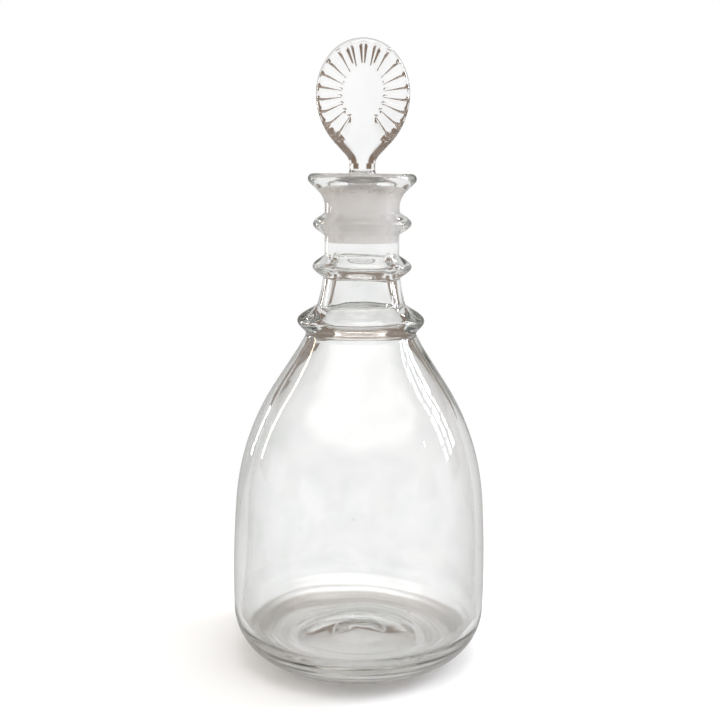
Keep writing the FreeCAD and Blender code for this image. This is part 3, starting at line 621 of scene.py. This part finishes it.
def head_outline():
    """Right half of the head's outline, about its middle, from its top down to its foot."""
    turn = math.radians(HEAD_HANDOVER)
    share = 1 - math.cos(turn) - math.sin(turn)
    side_bend = (HEAD_HALF_WIDTH * (1 - math.sin(turn)) - HEAD_UPPER * math.cos(turn)) / share
    top_bend = (HEAD_UPPER * (1 - math.cos(turn)) - HEAD_HALF_WIDTH * math.sin(turn)) / share
    height = HEAD_CENTRE_HEIGHT - HEAD_FOOT_HEIGHT
    foot = HEAD_FOOT_HALF_WIDTH
    sweep = HEAD_FOOT_SWEEP
    low, high = 0.0, math.pi / 2
    for _ in range(BISECTIONS):
        flank = (low + high) / 2
        line_height = (1 - HEAD_ARC_SHARE) * height - sweep * math.sin(flank)
        reach = HEAD_ARC_SHARE * height * math.tan(flank / 2) + line_height * math.tan(flank)
        if reach + sweep * (1 - math.cos(flank)) < HEAD_HALF_WIDTH - foot:
            low = flank
        else:
            high = flank
    low_bend = HEAD_ARC_SHARE * height / math.sin(flank)
    low_arc = arc((HEAD_HALF_WIDTH - low_bend, 0.0), low_bend, 0.0, -flank, HEAD_STEP)
    foot_arc = arc((foot + sweep, -height), sweep, math.pi - flank, math.pi, HEAD_STEP)
    return chain(
        arc((0.0, HEAD_UPPER - top_bend), top_bend, math.pi / 2, turn, HEAD_STEP),
        arc((HEAD_HALF_WIDTH - side_bend, 0.0), side_bend, turn, 0.0, HEAD_STEP),
        low_arc, line(low_arc[-1], foot_arc[0], HEAD_STEP), foot_arc)


def head_reach(angle, outline):
    """Distance from the head's middle to its outline; the angle is from straight up."""
    angles = np.arctan2(outline[:, 0], outline[:, 1])
    reach = np.interp(np.abs(angle), angles, np.hypot(outline[:, 0], outline[:, 1]))
    foot = outline[-1][1] / np.cos(angle)
    return np.where(np.abs(angle) > angles[-1], foot, reach)


def rim_distance(x, z, outline):
    """How far points of the head's face lie from its rounded outline; the foot doesn't count."""
    tree = KDTree(len(outline))
    for number, (across, height) in enumerate(outline):
        tree.insert((across, height, 0.0), number)
    tree.balance()
    points = np.column_stack((np.abs(x.ravel()), z.ravel()))
    nearest = np.array([tree.find((*point, 0.0))[1] for point in points])
    least = np.full(len(points), np.inf)
    for step in (-1, 0):
        start = np.clip(nearest + step, 0, len(outline) - 2)
        run = outline[start + 1] - outline[start]
        gap = points - outline[start]
        share = np.clip((gap * run).sum(axis=1) / (run * run).sum(axis=1), 0.0, 1.0)
        least = np.minimum(least, np.linalg.norm(gap - run * share[:, None], axis=1))
    return least.reshape(x.shape)


def flute_depth(x, z, outline):
    """How deep the moulded flutes are at a point of the head's face.

    They start at the smooth, oval middle of the face, widen outwards and run out in the rim.
    """
    depth = np.zeros(x.shape)
    for number in range(FLUTES):
        angle = math.radians(FLUTE_PITCH) * (number - (FLUTES - 1) / 2)
        across_share = math.sin(angle) / SMOOTH_HALF_WIDTH
        along_share = math.cos(angle) / SMOOTH_HALF_HEIGHT
        inner = 1 / math.hypot(across_share, along_share)
        inner += FLUTE_START_UNEVEN * math.sin(FLUTE_START_CYCLE * number)
        outer = float(head_reach(np.array([angle]), outline)[0]) - FLUTE_BORDER
        along = x * math.sin(angle) + z * math.cos(angle)
        across = x * math.cos(angle) - z * math.sin(angle)
        share = np.clip((along - inner) / (outer - inner),
                        -FLUTE_OVERRUN_SHARE, 1 + FLUTE_OVERRUN_SHARE)
        half_width = FLUTE_HALF_WIDTH + FLUTE_WIDENING * np.clip(along, inner, outer)
        ends = np.abs(2 * share - 1) ** FLUTE_END_POWER
        sides = np.sqrt((across / half_width) ** 2 + FLUTE_FLOOR_ROUND ** 2)
        hollow = np.where(along > 0, FLUTE_FULLNESS - sides - ends, -1.0)
        shape = (hollow + np.sqrt(hollow ** 2 + FLUTE_EDGE_ROUND)) / 2
        depth = np.maximum(depth, FLUTE_SLOPE_SHARE * half_width * shape)
    return np.maximum(depth - FLUTE_LEAST_DEPTH, 0.0)


def steps(start, end, count):
    """Evenly spaced values after start, up to the end itself."""
    return np.linspace(start, end, count + 1)[1:]


def head_mesh():
    """The stopper's flat head: two fluted faces, a rounded rim and a flat foot."""
    outline = head_outline()
    angles = (np.arange(HEAD_COLUMNS) + 0.5) / HEAD_COLUMNS * TURN - math.pi
    corner = math.atan2(*outline[-1])
    for exact in (corner, -corner):
        angles[np.argmin(np.abs(angles - exact))] = exact
    reach = head_reach(angles, outline)
    rim = 1 - HEAD_EDGE_ROUND / HEAD_HALF_WIDTH
    shares = np.concatenate((steps(0, HEAD_MIDDLE_SHARE, HEAD_MIDDLE_ROWS),
                             steps(HEAD_MIDDLE_SHARE, rim, HEAD_FACE_ROWS),
                             rim + (1 - rim) * np.sin(steps(0, math.pi / 2, HEAD_EDGE_ROWS))))
    x = shares[:, None] * reach * np.sin(angles)
    z = shares[:, None] * reach * np.cos(angles)
    from_rim = rim_distance(x, z, outline)
    from_rim[-1, np.abs(angles) <= corner + 1e-9] = 0.0
    inward = np.clip(HEAD_EDGE_ROUND - from_rim, 0.0, HEAD_EDGE_ROUND)
    half = HEAD_THICKNESS / 2 - HEAD_EDGE_ROUND + np.sqrt(HEAD_EDGE_ROUND ** 2 - inward ** 2)
    bevel = BEVEL_RISE_SHARE * np.clip(BEVEL_WIDTH - from_rim, 0.0, BEVEL_WIDTH)
    half = half - flute_depth(x, z, outline) - bevel * smooth_step(*BEVEL_HEIGHTS, z)
    front = [np.column_stack((x[row], -half[row], z[row])) for row in range(len(shares))]
    levels = np.linspace(-1, 1, HEAD_RIM_ROWS + 2)[1:-1]
    edge = [np.column_stack((x[-1], half[-1] * level, z[-1])) for level in levels]
    back = [row * (1, -1, 1) for row in reversed(front)]
    middle = np.zeros_like(front[0])
    middle[:, 1] = HEAD_THICKNESS / 2
    rings = np.array([-middle, *front, *edge, *back, middle])
    rings = rings + (0.0, 0.0, HEAD_CENTRE_HEIGHT)
    return turned_mesh("stopper_head", rings, [0] * len(rings))


def joined(name, first, second):
    """One closed mesh from two that overlap."""
    base = bpy.data.objects.new(name, first)
    other = bpy.data.objects.new(f"{name}_other", second)
    for item in (base, other):
        bpy.context.scene.collection.objects.link(item)
    union = base.modifiers.new("union", "BOOLEAN")
    union.operation = "UNION"
    union.solver = "EXACT"
    union.object = other
    bpy.context.view_layer.update()
    shown = base.evaluated_get(bpy.context.evaluated_depsgraph_get())
    mesh = bpy.data.meshes.new_from_object(shown)
    mesh.name = name
    base.modifiers.clear()
    bpy.data.objects.remove(base)
    bpy.data.objects.remove(other)
    return mesh


# Materials. From here on lengths are in metres, and a noise's scale is per metre.

WHITE = (1.0, 1.0, 1.0, 1.0)
BLACK = (0.0, 0.0, 0.0, 1.0)
GLASS_IOR = 1.5
# Painted shade: the tone that the glass is darkened to at its edges.
PAINTED_EDGE_SHADE_TONE = (0.36, 0.34, 0.32, 1.0)
DEPTH_TONE = (0.80, 0.812, 0.802, 1.0)
VESSEL_TINT = (0.93, 0.943, 0.938, 1.0)
STOPPER_TINT = (0.93, 0.935, 0.935, 1.0)
VESSEL_DENSITY = 22.0
STOPPER_DENSITY = 2.0

# Ground glass: its tones and roughness from patch to patch, and its bumps. Between the two
# heights it clears towards the lip: it turns warmer, lets more light through and gets smoother.
GROUND_TONES = ((0.985, 0.975, 0.98, 1.0), (1.0, 0.99, 0.98, 1.0))
GROUND_ROUGHNESS = (0.42, 0.60)
GROUND_PATCH_CLEARNESS = 0.10
GRAIN_HEIGHT = 0.00004
GRINDING_MARK_HEIGHT = 0.00005
CLEARING_HEIGHTS = ((SEAT_TOP - 3.0) * MM, (SEAT_TOP + 6.0) * MM)
CLEARING_TONE = (1.0, 0.965, 0.93, 1.0)
CLEARING_CLEARNESS = 0.16
CLEARING_SMOOTHNESS = 0.22


class Nodes:
    """Short calls for building a node tree."""

    def __init__(self, tree):
        self.tree = tree

    def add(self, kind, **settings):
        """A new node with its settings."""
        node = self.tree.nodes.new(kind)
        for key, value in settings.items():
            setattr(node, key, value)
        return node

    def put(self, socket, value):
        """Link a socket or set a plain value."""
        if isinstance(value, bpy.types.NodeSocket):
            self.tree.links.new(value, socket)
        else:
            socket.default_value = value

    def math(self, operation, first, second):
        """A sum, product or the like of two values."""
        node = self.add("ShaderNodeMath", operation=operation)
        self.put(node.inputs[0], first)
        self.put(node.inputs[1], second)
        return node.outputs[0]

    def mix(self, share, first, second):
        """A mix of two colours; share is how much of the second."""
        node = self.add("ShaderNodeMix", data_type="RGBA")
        self.put(node.inputs["Factor"], share)
        self.put(node.inputs["A"], first)
        self.put(node.inputs["B"], second)
        return node.outputs["Result"]

    def ramp(self, value, low, high, start=0.0, end=1.0):
        """Runs smoothly from start to end while the value runs from low to high."""
        node = self.add("ShaderNodeMapRange", interpolation_type="SMOOTHSTEP")
        self.put(node.inputs["Value"], value)
        for name, number in (("From Min", low), ("From Max", high), ("To Min", start),
                             ("To Max", end)):
            self.put(node.inputs[name], number)
        return node.outputs["Result"]

    def split(self, vector):
        """The x, y and z of a vector."""
        node = self.add("ShaderNodeSeparateXYZ")
        self.put(node.inputs[0], vector)
        return [node.outputs[name] for name in "XYZ"]

    def noise(self, place, scale, detail, stretch=(1.0, 1.0, 1.0), warp=0.0):
        """Noise from 0 to 1; a low number in stretch draws it out along that axis."""
        mapping = self.add("ShaderNodeMapping")
        self.put(mapping.inputs["Vector"], place)
        mapping.inputs["Scale"].default_value = stretch
        node = self.add("ShaderNodeTexNoise")
        self.put(node.inputs["Vector"], mapping.outputs["Vector"])
        node.inputs["Scale"].default_value = scale
        node.inputs["Detail"].default_value = detail
        node.inputs["Distortion"].default_value = warp
        return node.outputs["Fac"]

    def bump(self, height, distance, onto=None):
        """A bumped normal; distance is how high a height of 1 stands. It can add to another."""
        node = self.add("ShaderNodeBump")
        node.inputs["Strength"].default_value = 1.0
        node.inputs["Distance"].default_value = distance
        self.put(node.inputs["Height"], height)
        if onto is not None:
            self.put(node.inputs["Normal"], onto)
        return node.outputs["Normal"]


def new_material(name):
    """A new material with its nodes, its shader and its object coordinates."""
    material = bpy.data.materials.new(name)
    material.use_nodes = True
    nodes = Nodes(material.node_tree)
    shader = material.node_tree.nodes["Principled BSDF"]
    place = nodes.add("ShaderNodeTexCoord").outputs["Object"]
    return material, nodes, shader, place


def absorb(nodes, material, density):
    """The faint grey that thick glass takes on."""
    volume = nodes.add("ShaderNodeVolumeAbsorption")
    volume.inputs["Color"].default_value = DEPTH_TONE
    volume.inputs["Density"].default_value = density
    output = material.node_tree.nodes["Material Output"]
    nodes.put(output.inputs["Volume"], volume.outputs["Volume"])


def glass(name, tint, ripple, striae, haze, density, edge_shade_power, edge_shade_heights):
    """Colourless fire-polished glass with ripples, drawn-out striae and faint smudges.

    Its colour is darkened towards its edges as painted shade, wider for a low edge_shade_power.
    That sets in between the two edge_shade_heights: not at all at the first, fully at the second
    and beyond.
    """
    material, nodes, shader, place = new_material(name)
    shader.inputs["IOR"].default_value = GLASS_IOR
    shader.inputs["Transmission Weight"].default_value = 1.0
    cloud = nodes.noise(place, scale=38.0, detail=3.0, warp=0.6)
    shade = nodes.mix(nodes.ramp(cloud, low=0.35, high=0.7), WHITE, tint)
    # Painted shade: the base colour darkens where the surface turns away from the view.
    facing = nodes.add("ShaderNodeLayerWeight").outputs["Facing"]
    edge = nodes.math("POWER", facing, edge_shade_power)
    height = nodes.split(place)[2]
    edge = nodes.math("MULTIPLY", edge, nodes.ramp(height, *edge_shade_heights))
    nodes.put(shader.inputs["Base Color"], nodes.mix(edge, shade, PAINTED_EDGE_SHADE_TONE))
    smears = nodes.noise(place, scale=90.0, detail=5.0, warp=1.2)
    smudge = nodes.ramp(smears, low=0.56, high=0.78)
    nodes.put(shader.inputs["Roughness"], nodes.math("MULTIPLY", smudge, haze))
    wave = nodes.noise(place, scale=55.0, detail=1.0, stretch=(1.0, 1.0, 0.45))
    drawn = nodes.noise(place, scale=140.0, detail=2.0, stretch=(1.0, 1.0, 0.12), warp=0.4)
    normal = nodes.bump(drawn, striae, onto=nodes.bump(wave, ripple))
    nodes.put(shader.inputs["Normal"], normal)
    absorb(nodes, material, density)
    return material


def ground_glass(name, darkness, clearness, density):
    """Glass ground with grit: pale and fine-grained, clearing towards the lip."""
    material, nodes, shader, place = new_material(name)
    shader.inputs["IOR"].default_value = GLASS_IOR
    height = nodes.split(place)[2]
    clearing = nodes.ramp(height, *CLEARING_HEIGHTS)
    patches = nodes.noise(place, scale=160.0, detail=3.0, warp=0.5)
    through = nodes.ramp(patches, low=0.3, high=0.7, start=clearness,
                         end=clearness + GROUND_PATCH_CLEARNESS)
    more = nodes.math("MULTIPLY", clearing, CLEARING_CLEARNESS)
    nodes.put(shader.inputs["Transmission Weight"], nodes.math("ADD", through, more))
    shade = nodes.mix(nodes.ramp(patches, low=0.3, high=0.7), *GROUND_TONES)
    shade = nodes.mix(clearing, shade, CLEARING_TONE)
    nodes.put(shader.inputs["Base Color"], nodes.mix(darkness, shade, BLACK))
    least, most = GROUND_ROUGHNESS
    rough = nodes.ramp(patches, low=0.25, high=0.75, start=least, end=most)
    smoother = nodes.math("MULTIPLY", clearing, CLEARING_SMOOTHNESS)
    nodes.put(shader.inputs["Roughness"], nodes.math("SUBTRACT", rough, smoother))
    grain = nodes.noise(place, scale=2600.0, detail=3.0)
    marks = nodes.noise(place, scale=900.0, detail=2.0, stretch=(0.06, 0.06, 1.0))
    normal = nodes.bump(marks, GRINDING_MARK_HEIGHT, onto=nodes.bump(grain, GRAIN_HEIGHT))
    nodes.put(shader.inputs["Normal"], normal)
    absorb(nodes, material, density)
    return material


# The studio: eight white panels round the decanter with darker gaps between them, so that it
# stands before white in the usual views, and a soft white front from above. Glass shows the
# gaps in its flutes and along its edges. The camera itself sees plain white.

GAP_TONE = (0.22, 0.155, 0.11, 1.0)
UPPER_TONE = (0.26, 0.20, 0.16, 1.0)
FRONT_TONE = (4.4, 4.14, 3.96, 1.0)
MIRRORED_TONE = (0.30, 0.29, 0.28, 1.0)
MIRRORED_SHARE = 0.8
LOW_LIGHT = (0.62, 0.62, 0.62, 1.0)
HIGH_LIGHT = (0.86, 0.86, 0.87, 1.0)

# The panels, and where their edges lie on a cosine that has one cycle for each of them.
PANELS = 8
PANEL_EDGES = (0.3, -0.45)

# Parts of the sky by a direction's height, from -1 below to 1 overhead. Each pair runs from
# where a part hasn't started, or has ended, to where it is full. The front is also kept to
# the side that the direction's y gives. The last pair runs from the low light to the high.
UPPER_STARTS = (0.13, 0.25)
UPPER_ENDS = (0.93, 0.78)
FRONT_STARTS = (0.42, 0.62)
FRONT_SIDE = (0.0, -0.3)
LIGHT_HEIGHTS = (-0.1, 0.9)

# The floor and, by the distance from the axis in metres: the ring of painted shadow that the base
# shows, where the camera's view of the floor fades to white, and where the view through glass
# does, which starts half white as painted light under the base, in place of light through glass.
FLOOR_REACH = 6.0
FLOOR_CELLS = 24
FLOOR_TONES = ((0.93, 0.93, 0.925, 1.0), (0.96, 0.96, 0.96, 1.0))
SHADOW_TONE = (0.34, 0.30, 0.27, 1.0)
SHADE_STARTS = (0.040, 0.048)
SHADE_ENDS = (0.072, 0.056)
STRAIGHT_FADE = (0.10, 0.26)
BENT_FADE = (0.03, 0.12)
BENT_SHARES = (0.5, 1.0)

# Lamps. The window is rows of panes, some narrower and dimmer than others. It stands at a turn
# from the front in degrees and rises by a share of its distance from the axis.
WINDOW_DRAW = 11
LAMP_TARGET = Vector((0.0, 0.0, 0.12))
WINDOW_TURN = 103.0
WINDOW_RISE_SHARE = 0.46
WINDOW_AWAY = 0.95
WINDOW_COLUMNS = 3
WINDOW_ROWS = 6
PANE_PITCH = (0.135, 0.105)
PANE_SIZE = (0.105, 0.085)
PANE_POWER = 0.5
PANE_BRIGHTNESS = (0.45, 1.0)
PANE_RED = (0.84, 0.94)
PANE_GREEN = 0.93

# Strip lamps and the one above: place, target, size, power and colour.
WARM_STRIP_HIGH = ((-0.90, 0.34, 0.40), (0.0, 0.0, 0.13), (0.05, 0.50), 1.4, (1.0, 0.84, 0.64))
WARM_STRIP_LOW = ((-0.72, 0.66, 0.16), (0.0, 0.0, 0.08), (0.05, 0.22), 0.9, (1.0, 0.90, 0.76))
OVERHEAD = ((0.15, -0.25, 1.25), (0.0, 0.0, 0.1), (0.7, 0.7), 5.0, (1.0, 0.99, 0.97))

# Small lamps for glints: turn from the front and rise in degrees, and how warm they are. The
# warmest lacks these shares of red, green and blue.
GLINTS = [(-58, 34, 1.0), (72, 20, 0.0), (150, 40, 0.2), (-140, 30, 1.0)]
GLINT_SIZE = (0.03, 0.045)
GLINT_POWER = 0.25
GLINT_LACK_SHARES = (0.0, 0.14, 0.34)

# The photograph's view: from the height of the lip, 0.48 m from the axis. Lens and sensor are
# in millimetres, angles in degrees.
CAMERA_PLACE = (0.0, -0.480, 0.2097)
CAMERA_ANGLES = (80.71, -0.5, 0.117)
CAMERA_LENS = 56.25
CAMERA_SENSOR = 36.0

# How often light may pass or bounce: light that is piped along thick glass turns many times.
MOST_BOUNCES = 64
MOST_GLOSSY_BOUNCES = 48
MOST_DIFFUSE_BOUNCES = 12


def seen_rays(nodes):
    """Which rays see the studio's look: the camera's, reflected ones and those through glass."""
    path = nodes.add("ShaderNodeLightPath")
    camera = path.outputs["Is Camera Ray"]
    through = path.outputs["Is Transmission Ray"]
    seen = nodes.math("MAXIMUM", camera, path.outputs["Is Glossy Ray"])
    return nodes.math("MAXIMUM", seen, through), camera, through


def panel_gaps(nodes, x, y):
    """1 in the gaps between the panels and 0 in front of the panels."""
    turn = nodes.math("ARCTAN2", x, y)
    panel = nodes.math("COSINE", nodes.math("MULTIPLY", turn, float(PANELS)), 0.0)
    return nodes.ramp(panel, *PANEL_EDGES)


def as_seen(nodes, tone, camera, through):
    """Plain white for the camera, a darker room for reflections, the tone through glass."""
    mirrored = nodes.math("SUBTRACT", 1.0, nodes.math("MAXIMUM", camera, through))
    tone = nodes.mix(nodes.math("MULTIPLY", mirrored, MIRRORED_SHARE), tone, MIRRORED_TONE)
    return nodes.mix(camera, tone, WHITE)


def make_world():
    """The studio's walls and sky, as light and as glass shows them."""
    world = bpy.data.worlds.new("studio")
    bpy.context.scene.world = world
    world.use_nodes = True
    nodes = Nodes(world.node_tree)
    background = world.node_tree.nodes["Background"]
    x, y, height = nodes.split(nodes.add("ShaderNodeTexCoord").outputs["Generated"])
    seen, camera, through = seen_rays(nodes)
    tone = nodes.mix(panel_gaps(nodes, x, y), WHITE, GAP_TONE)
    upper = nodes.math("MULTIPLY", nodes.ramp(height, *UPPER_STARTS),
                       nodes.ramp(height, *UPPER_ENDS))
    tone = nodes.mix(upper, tone, UPPER_TONE)
    front = nodes.math("MULTIPLY", nodes.ramp(y, *FRONT_SIDE), nodes.ramp(height, *FRONT_STARTS))
    tone = nodes.mix(front, tone, FRONT_TONE)
    light = nodes.mix(nodes.ramp(height, *LIGHT_HEIGHTS), LOW_LIGHT, HIGH_LIGHT)
    look = as_seen(nodes, tone, camera, through)
    nodes.put(background.inputs["Color"], nodes.mix(seen, light, look))
    background.inputs["Strength"].default_value = 1.0


def make_floor():
    """A pale floor that fades into the white backdrop away from the decanter."""
    mesh = bpy.data.meshes.new("floor")
    bm = bmesh.new()
    bmesh.ops.create_grid(bm, x_segments=FLOOR_CELLS, y_segments=FLOOR_CELLS, size=FLOOR_REACH)
    bm.to_mesh(mesh)
    bm.free()
    floor = bpy.data.objects.new("floor", mesh)
    bpy.context.scene.collection.objects.link(floor)
    material, nodes, shader, place = new_material("pale_floor")
    shader.inputs["Roughness"].default_value = 0.9
    shader.inputs["Specular IOR Level"].default_value = 0.15
    tone = nodes.mix(nodes.noise(place, scale=9.0, detail=4.0), *FLOOR_TONES)
    nodes.put(shader.inputs["Base Color"], tone)
    length = nodes.add("ShaderNodeVectorMath", operation="LENGTH")
    nodes.put(length.inputs[0], place)
    away = length.outputs["Value"]
    seen, camera, through = seen_rays(nodes)
    # Painted shadow: a darker ring on the floor round the base, as the glass shows it.
    shade = nodes.math("MULTIPLY", nodes.ramp(away, *SHADE_STARTS), nodes.ramp(away, *SHADE_ENDS))
    look = as_seen(nodes, nodes.mix(shade, WHITE, SHADOW_TONE), camera, through)
    straight = nodes.math("MULTIPLY", camera, nodes.ramp(away, *STRAIGHT_FADE))
    # Painted light: under the base the floor seen in the glass glows half white.
    bent = nodes.math("MULTIPLY", nodes.math("SUBTRACT", 1.0, camera),
                      nodes.ramp(away, *BENT_FADE, *BENT_SHARES))
    glow = nodes.add("ShaderNodeEmission")
    nodes.put(glow.inputs["Color"], look)
    blend = nodes.add("ShaderNodeMixShader")
    nodes.put(blend.inputs[0], nodes.math("MULTIPLY", seen, nodes.math("ADD", straight, bent)))
    nodes.put(blend.inputs[1], shader.outputs[0])
    nodes.put(blend.inputs[2], glow.outputs[0])
    output = material.node_tree.nodes["Material Output"]
    nodes.put(output.inputs["Surface"], blend.outputs[0])
    mesh.materials.append(material)


def add_lamp(name, place, target, size, power, colour):
    """A soft rectangular lamp that looks at a point."""
    light = bpy.data.lights.new(name, "AREA")
    light.shape = "RECTANGLE"
    light.size, light.size_y = size
    light.energy = power
    light.color = colour
    lamp = bpy.data.objects.new(name, light)
    bpy.context.scene.collection.objects.link(lamp)
    lamp.location = place
    look = Vector(target) - Vector(place)
    lamp.rotation_euler = look.to_track_quat("-Z", "Y").to_euler()
    lamp.visible_camera = False
    lamp.visible_transmission = False


def make_window():
    """A window of separate panes at the right."""
    turn = math.radians(WINDOW_TURN)
    out = Vector((math.sin(turn), -math.cos(turn), WINDOW_RISE_SHARE)).normalized()
    side = Vector((0.0, 0.0, 1.0)).cross(out).normalized()
    up = out.cross(side)
    random = np.random.default_rng(WINDOW_DRAW)
    for column in range(WINDOW_COLUMNS):
        for row in range(WINDOW_ROWS):
            share = between(PANE_BRIGHTNESS, random.random())
            offset = side * ((column - (WINDOW_COLUMNS - 1) / 2) * PANE_PITCH[0])
            offset += up * ((row - (WINDOW_ROWS - 1) / 2) * PANE_PITCH[1])
            add_lamp(f"window_{column}_{row}", LAMP_TARGET + out * WINDOW_AWAY + offset,
                     LAMP_TARGET + offset, (PANE_SIZE[0] * share, PANE_SIZE[1]),
                     PANE_POWER * share, (between(PANE_RED, share), PANE_GREEN, 1.0))


def make_glints():
    """Small lamps all round, a metre from the decanter."""
    for number, (turn, rise, warmth) in enumerate(GLINTS):
        angle, tilt = math.radians(turn), math.radians(rise)
        away = Vector((math.sin(angle) * math.cos(tilt), -math.cos(angle) * math.cos(tilt),
                       math.sin(tilt)))
        colour = [1.0 - warmth * lack for lack in GLINT_LACK_SHARES]
        add_lamp(f"glint_{number}", LAMP_TARGET + away, LAMP_TARGET, GLINT_SIZE, GLINT_POWER,
                 colour)


def make_lights():
    """A window at the right, warm strips at the left, small lamps and one above."""
    make_window()
    add_lamp("warm_strip_high", *WARM_STRIP_HIGH)
    add_lamp("warm_strip_low", *WARM_STRIP_LOW)
    make_glints()
    add_lamp("overhead", *OVERHEAD)


def make_camera():
    """The camera at the photograph's viewing angle."""
    data = bpy.data.cameras.new("camera")
    data.sensor_width = CAMERA_SENSOR
    data.lens = CAMERA_LENS
    camera = bpy.data.objects.new("camera", data)
    bpy.context.scene.collection.objects.link(camera)
    camera.location = CAMERA_PLACE
    camera.rotation_euler = [math.radians(angle) for angle in CAMERA_ANGLES]
    bpy.context.scene.camera = camera


def place_piece(name, mesh, materials, body, slot, *nodes):
    """Show a mesh in place of CAD nodes, smooth but for its real edges."""
    for material in materials:
        mesh.materials.append(material)
    mesh.polygons.foreach_set("use_smooth", [True] * len(mesh.polygons))
    mesh.set_sharp_from_angle(angle=math.radians(SHARP_ANGLE))
    piece = bpy.data.objects.new(name, mesh)
    bpy.context.scene.collection.objects.link(piece)
    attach(piece, body)
    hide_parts(*nodes)


scene = bpy.context.scene
scene.view_settings.view_transform = "Standard"
scene.cycles.max_bounces = MOST_BOUNCES
scene.cycles.transmission_bounces = MOST_BOUNCES
scene.cycles.glossy_bounces = MOST_GLOSSY_BOUNCES
scene.cycles.diffuse_bounces = MOST_DIFFUSE_BOUNCES
make_camera()
make_world()
make_floor()
make_lights()

vessel_glass = glass("blown_glass", VESSEL_TINT, ripple=0.00010, striae=0.00003, haze=0.05,
                     density=VESSEL_DENSITY, edge_shade_power=2.5, edge_shade_heights=(0.165, 0.150))
stopper_glass = glass("pressed_glass", STOPPER_TINT, ripple=0.00004, striae=0.00001, haze=0.04,
                      density=STOPPER_DENSITY, edge_shade_power=1.05, edge_shade_heights=(0.212, 0.218))
ground_seat = ground_glass("ground_seat", darkness=0.0, clearness=0.18, density=VESSEL_DENSITY)
ground_peg = ground_glass("ground_peg", darkness=0.20, clearness=0.60, density=STOPPER_DENSITY)

vessel = vessel_mesh()
add_seeds(vessel, seed_places())
place_piece("vessel", vessel, [vessel_glass, ground_seat], "vessel", "vessel_glass",
            "decanter_body", "neck_lower_ring", "neck_middle_ring", "neck_upper_ring")
stopper = joined("stopper_glass", head_mesh(), peg_mesh())
place_piece("stopper_piece", stopper, [stopper_glass, ground_peg], "stopper", "stopper_glass",
            "stopper")

bpy.context.view_layer.update()
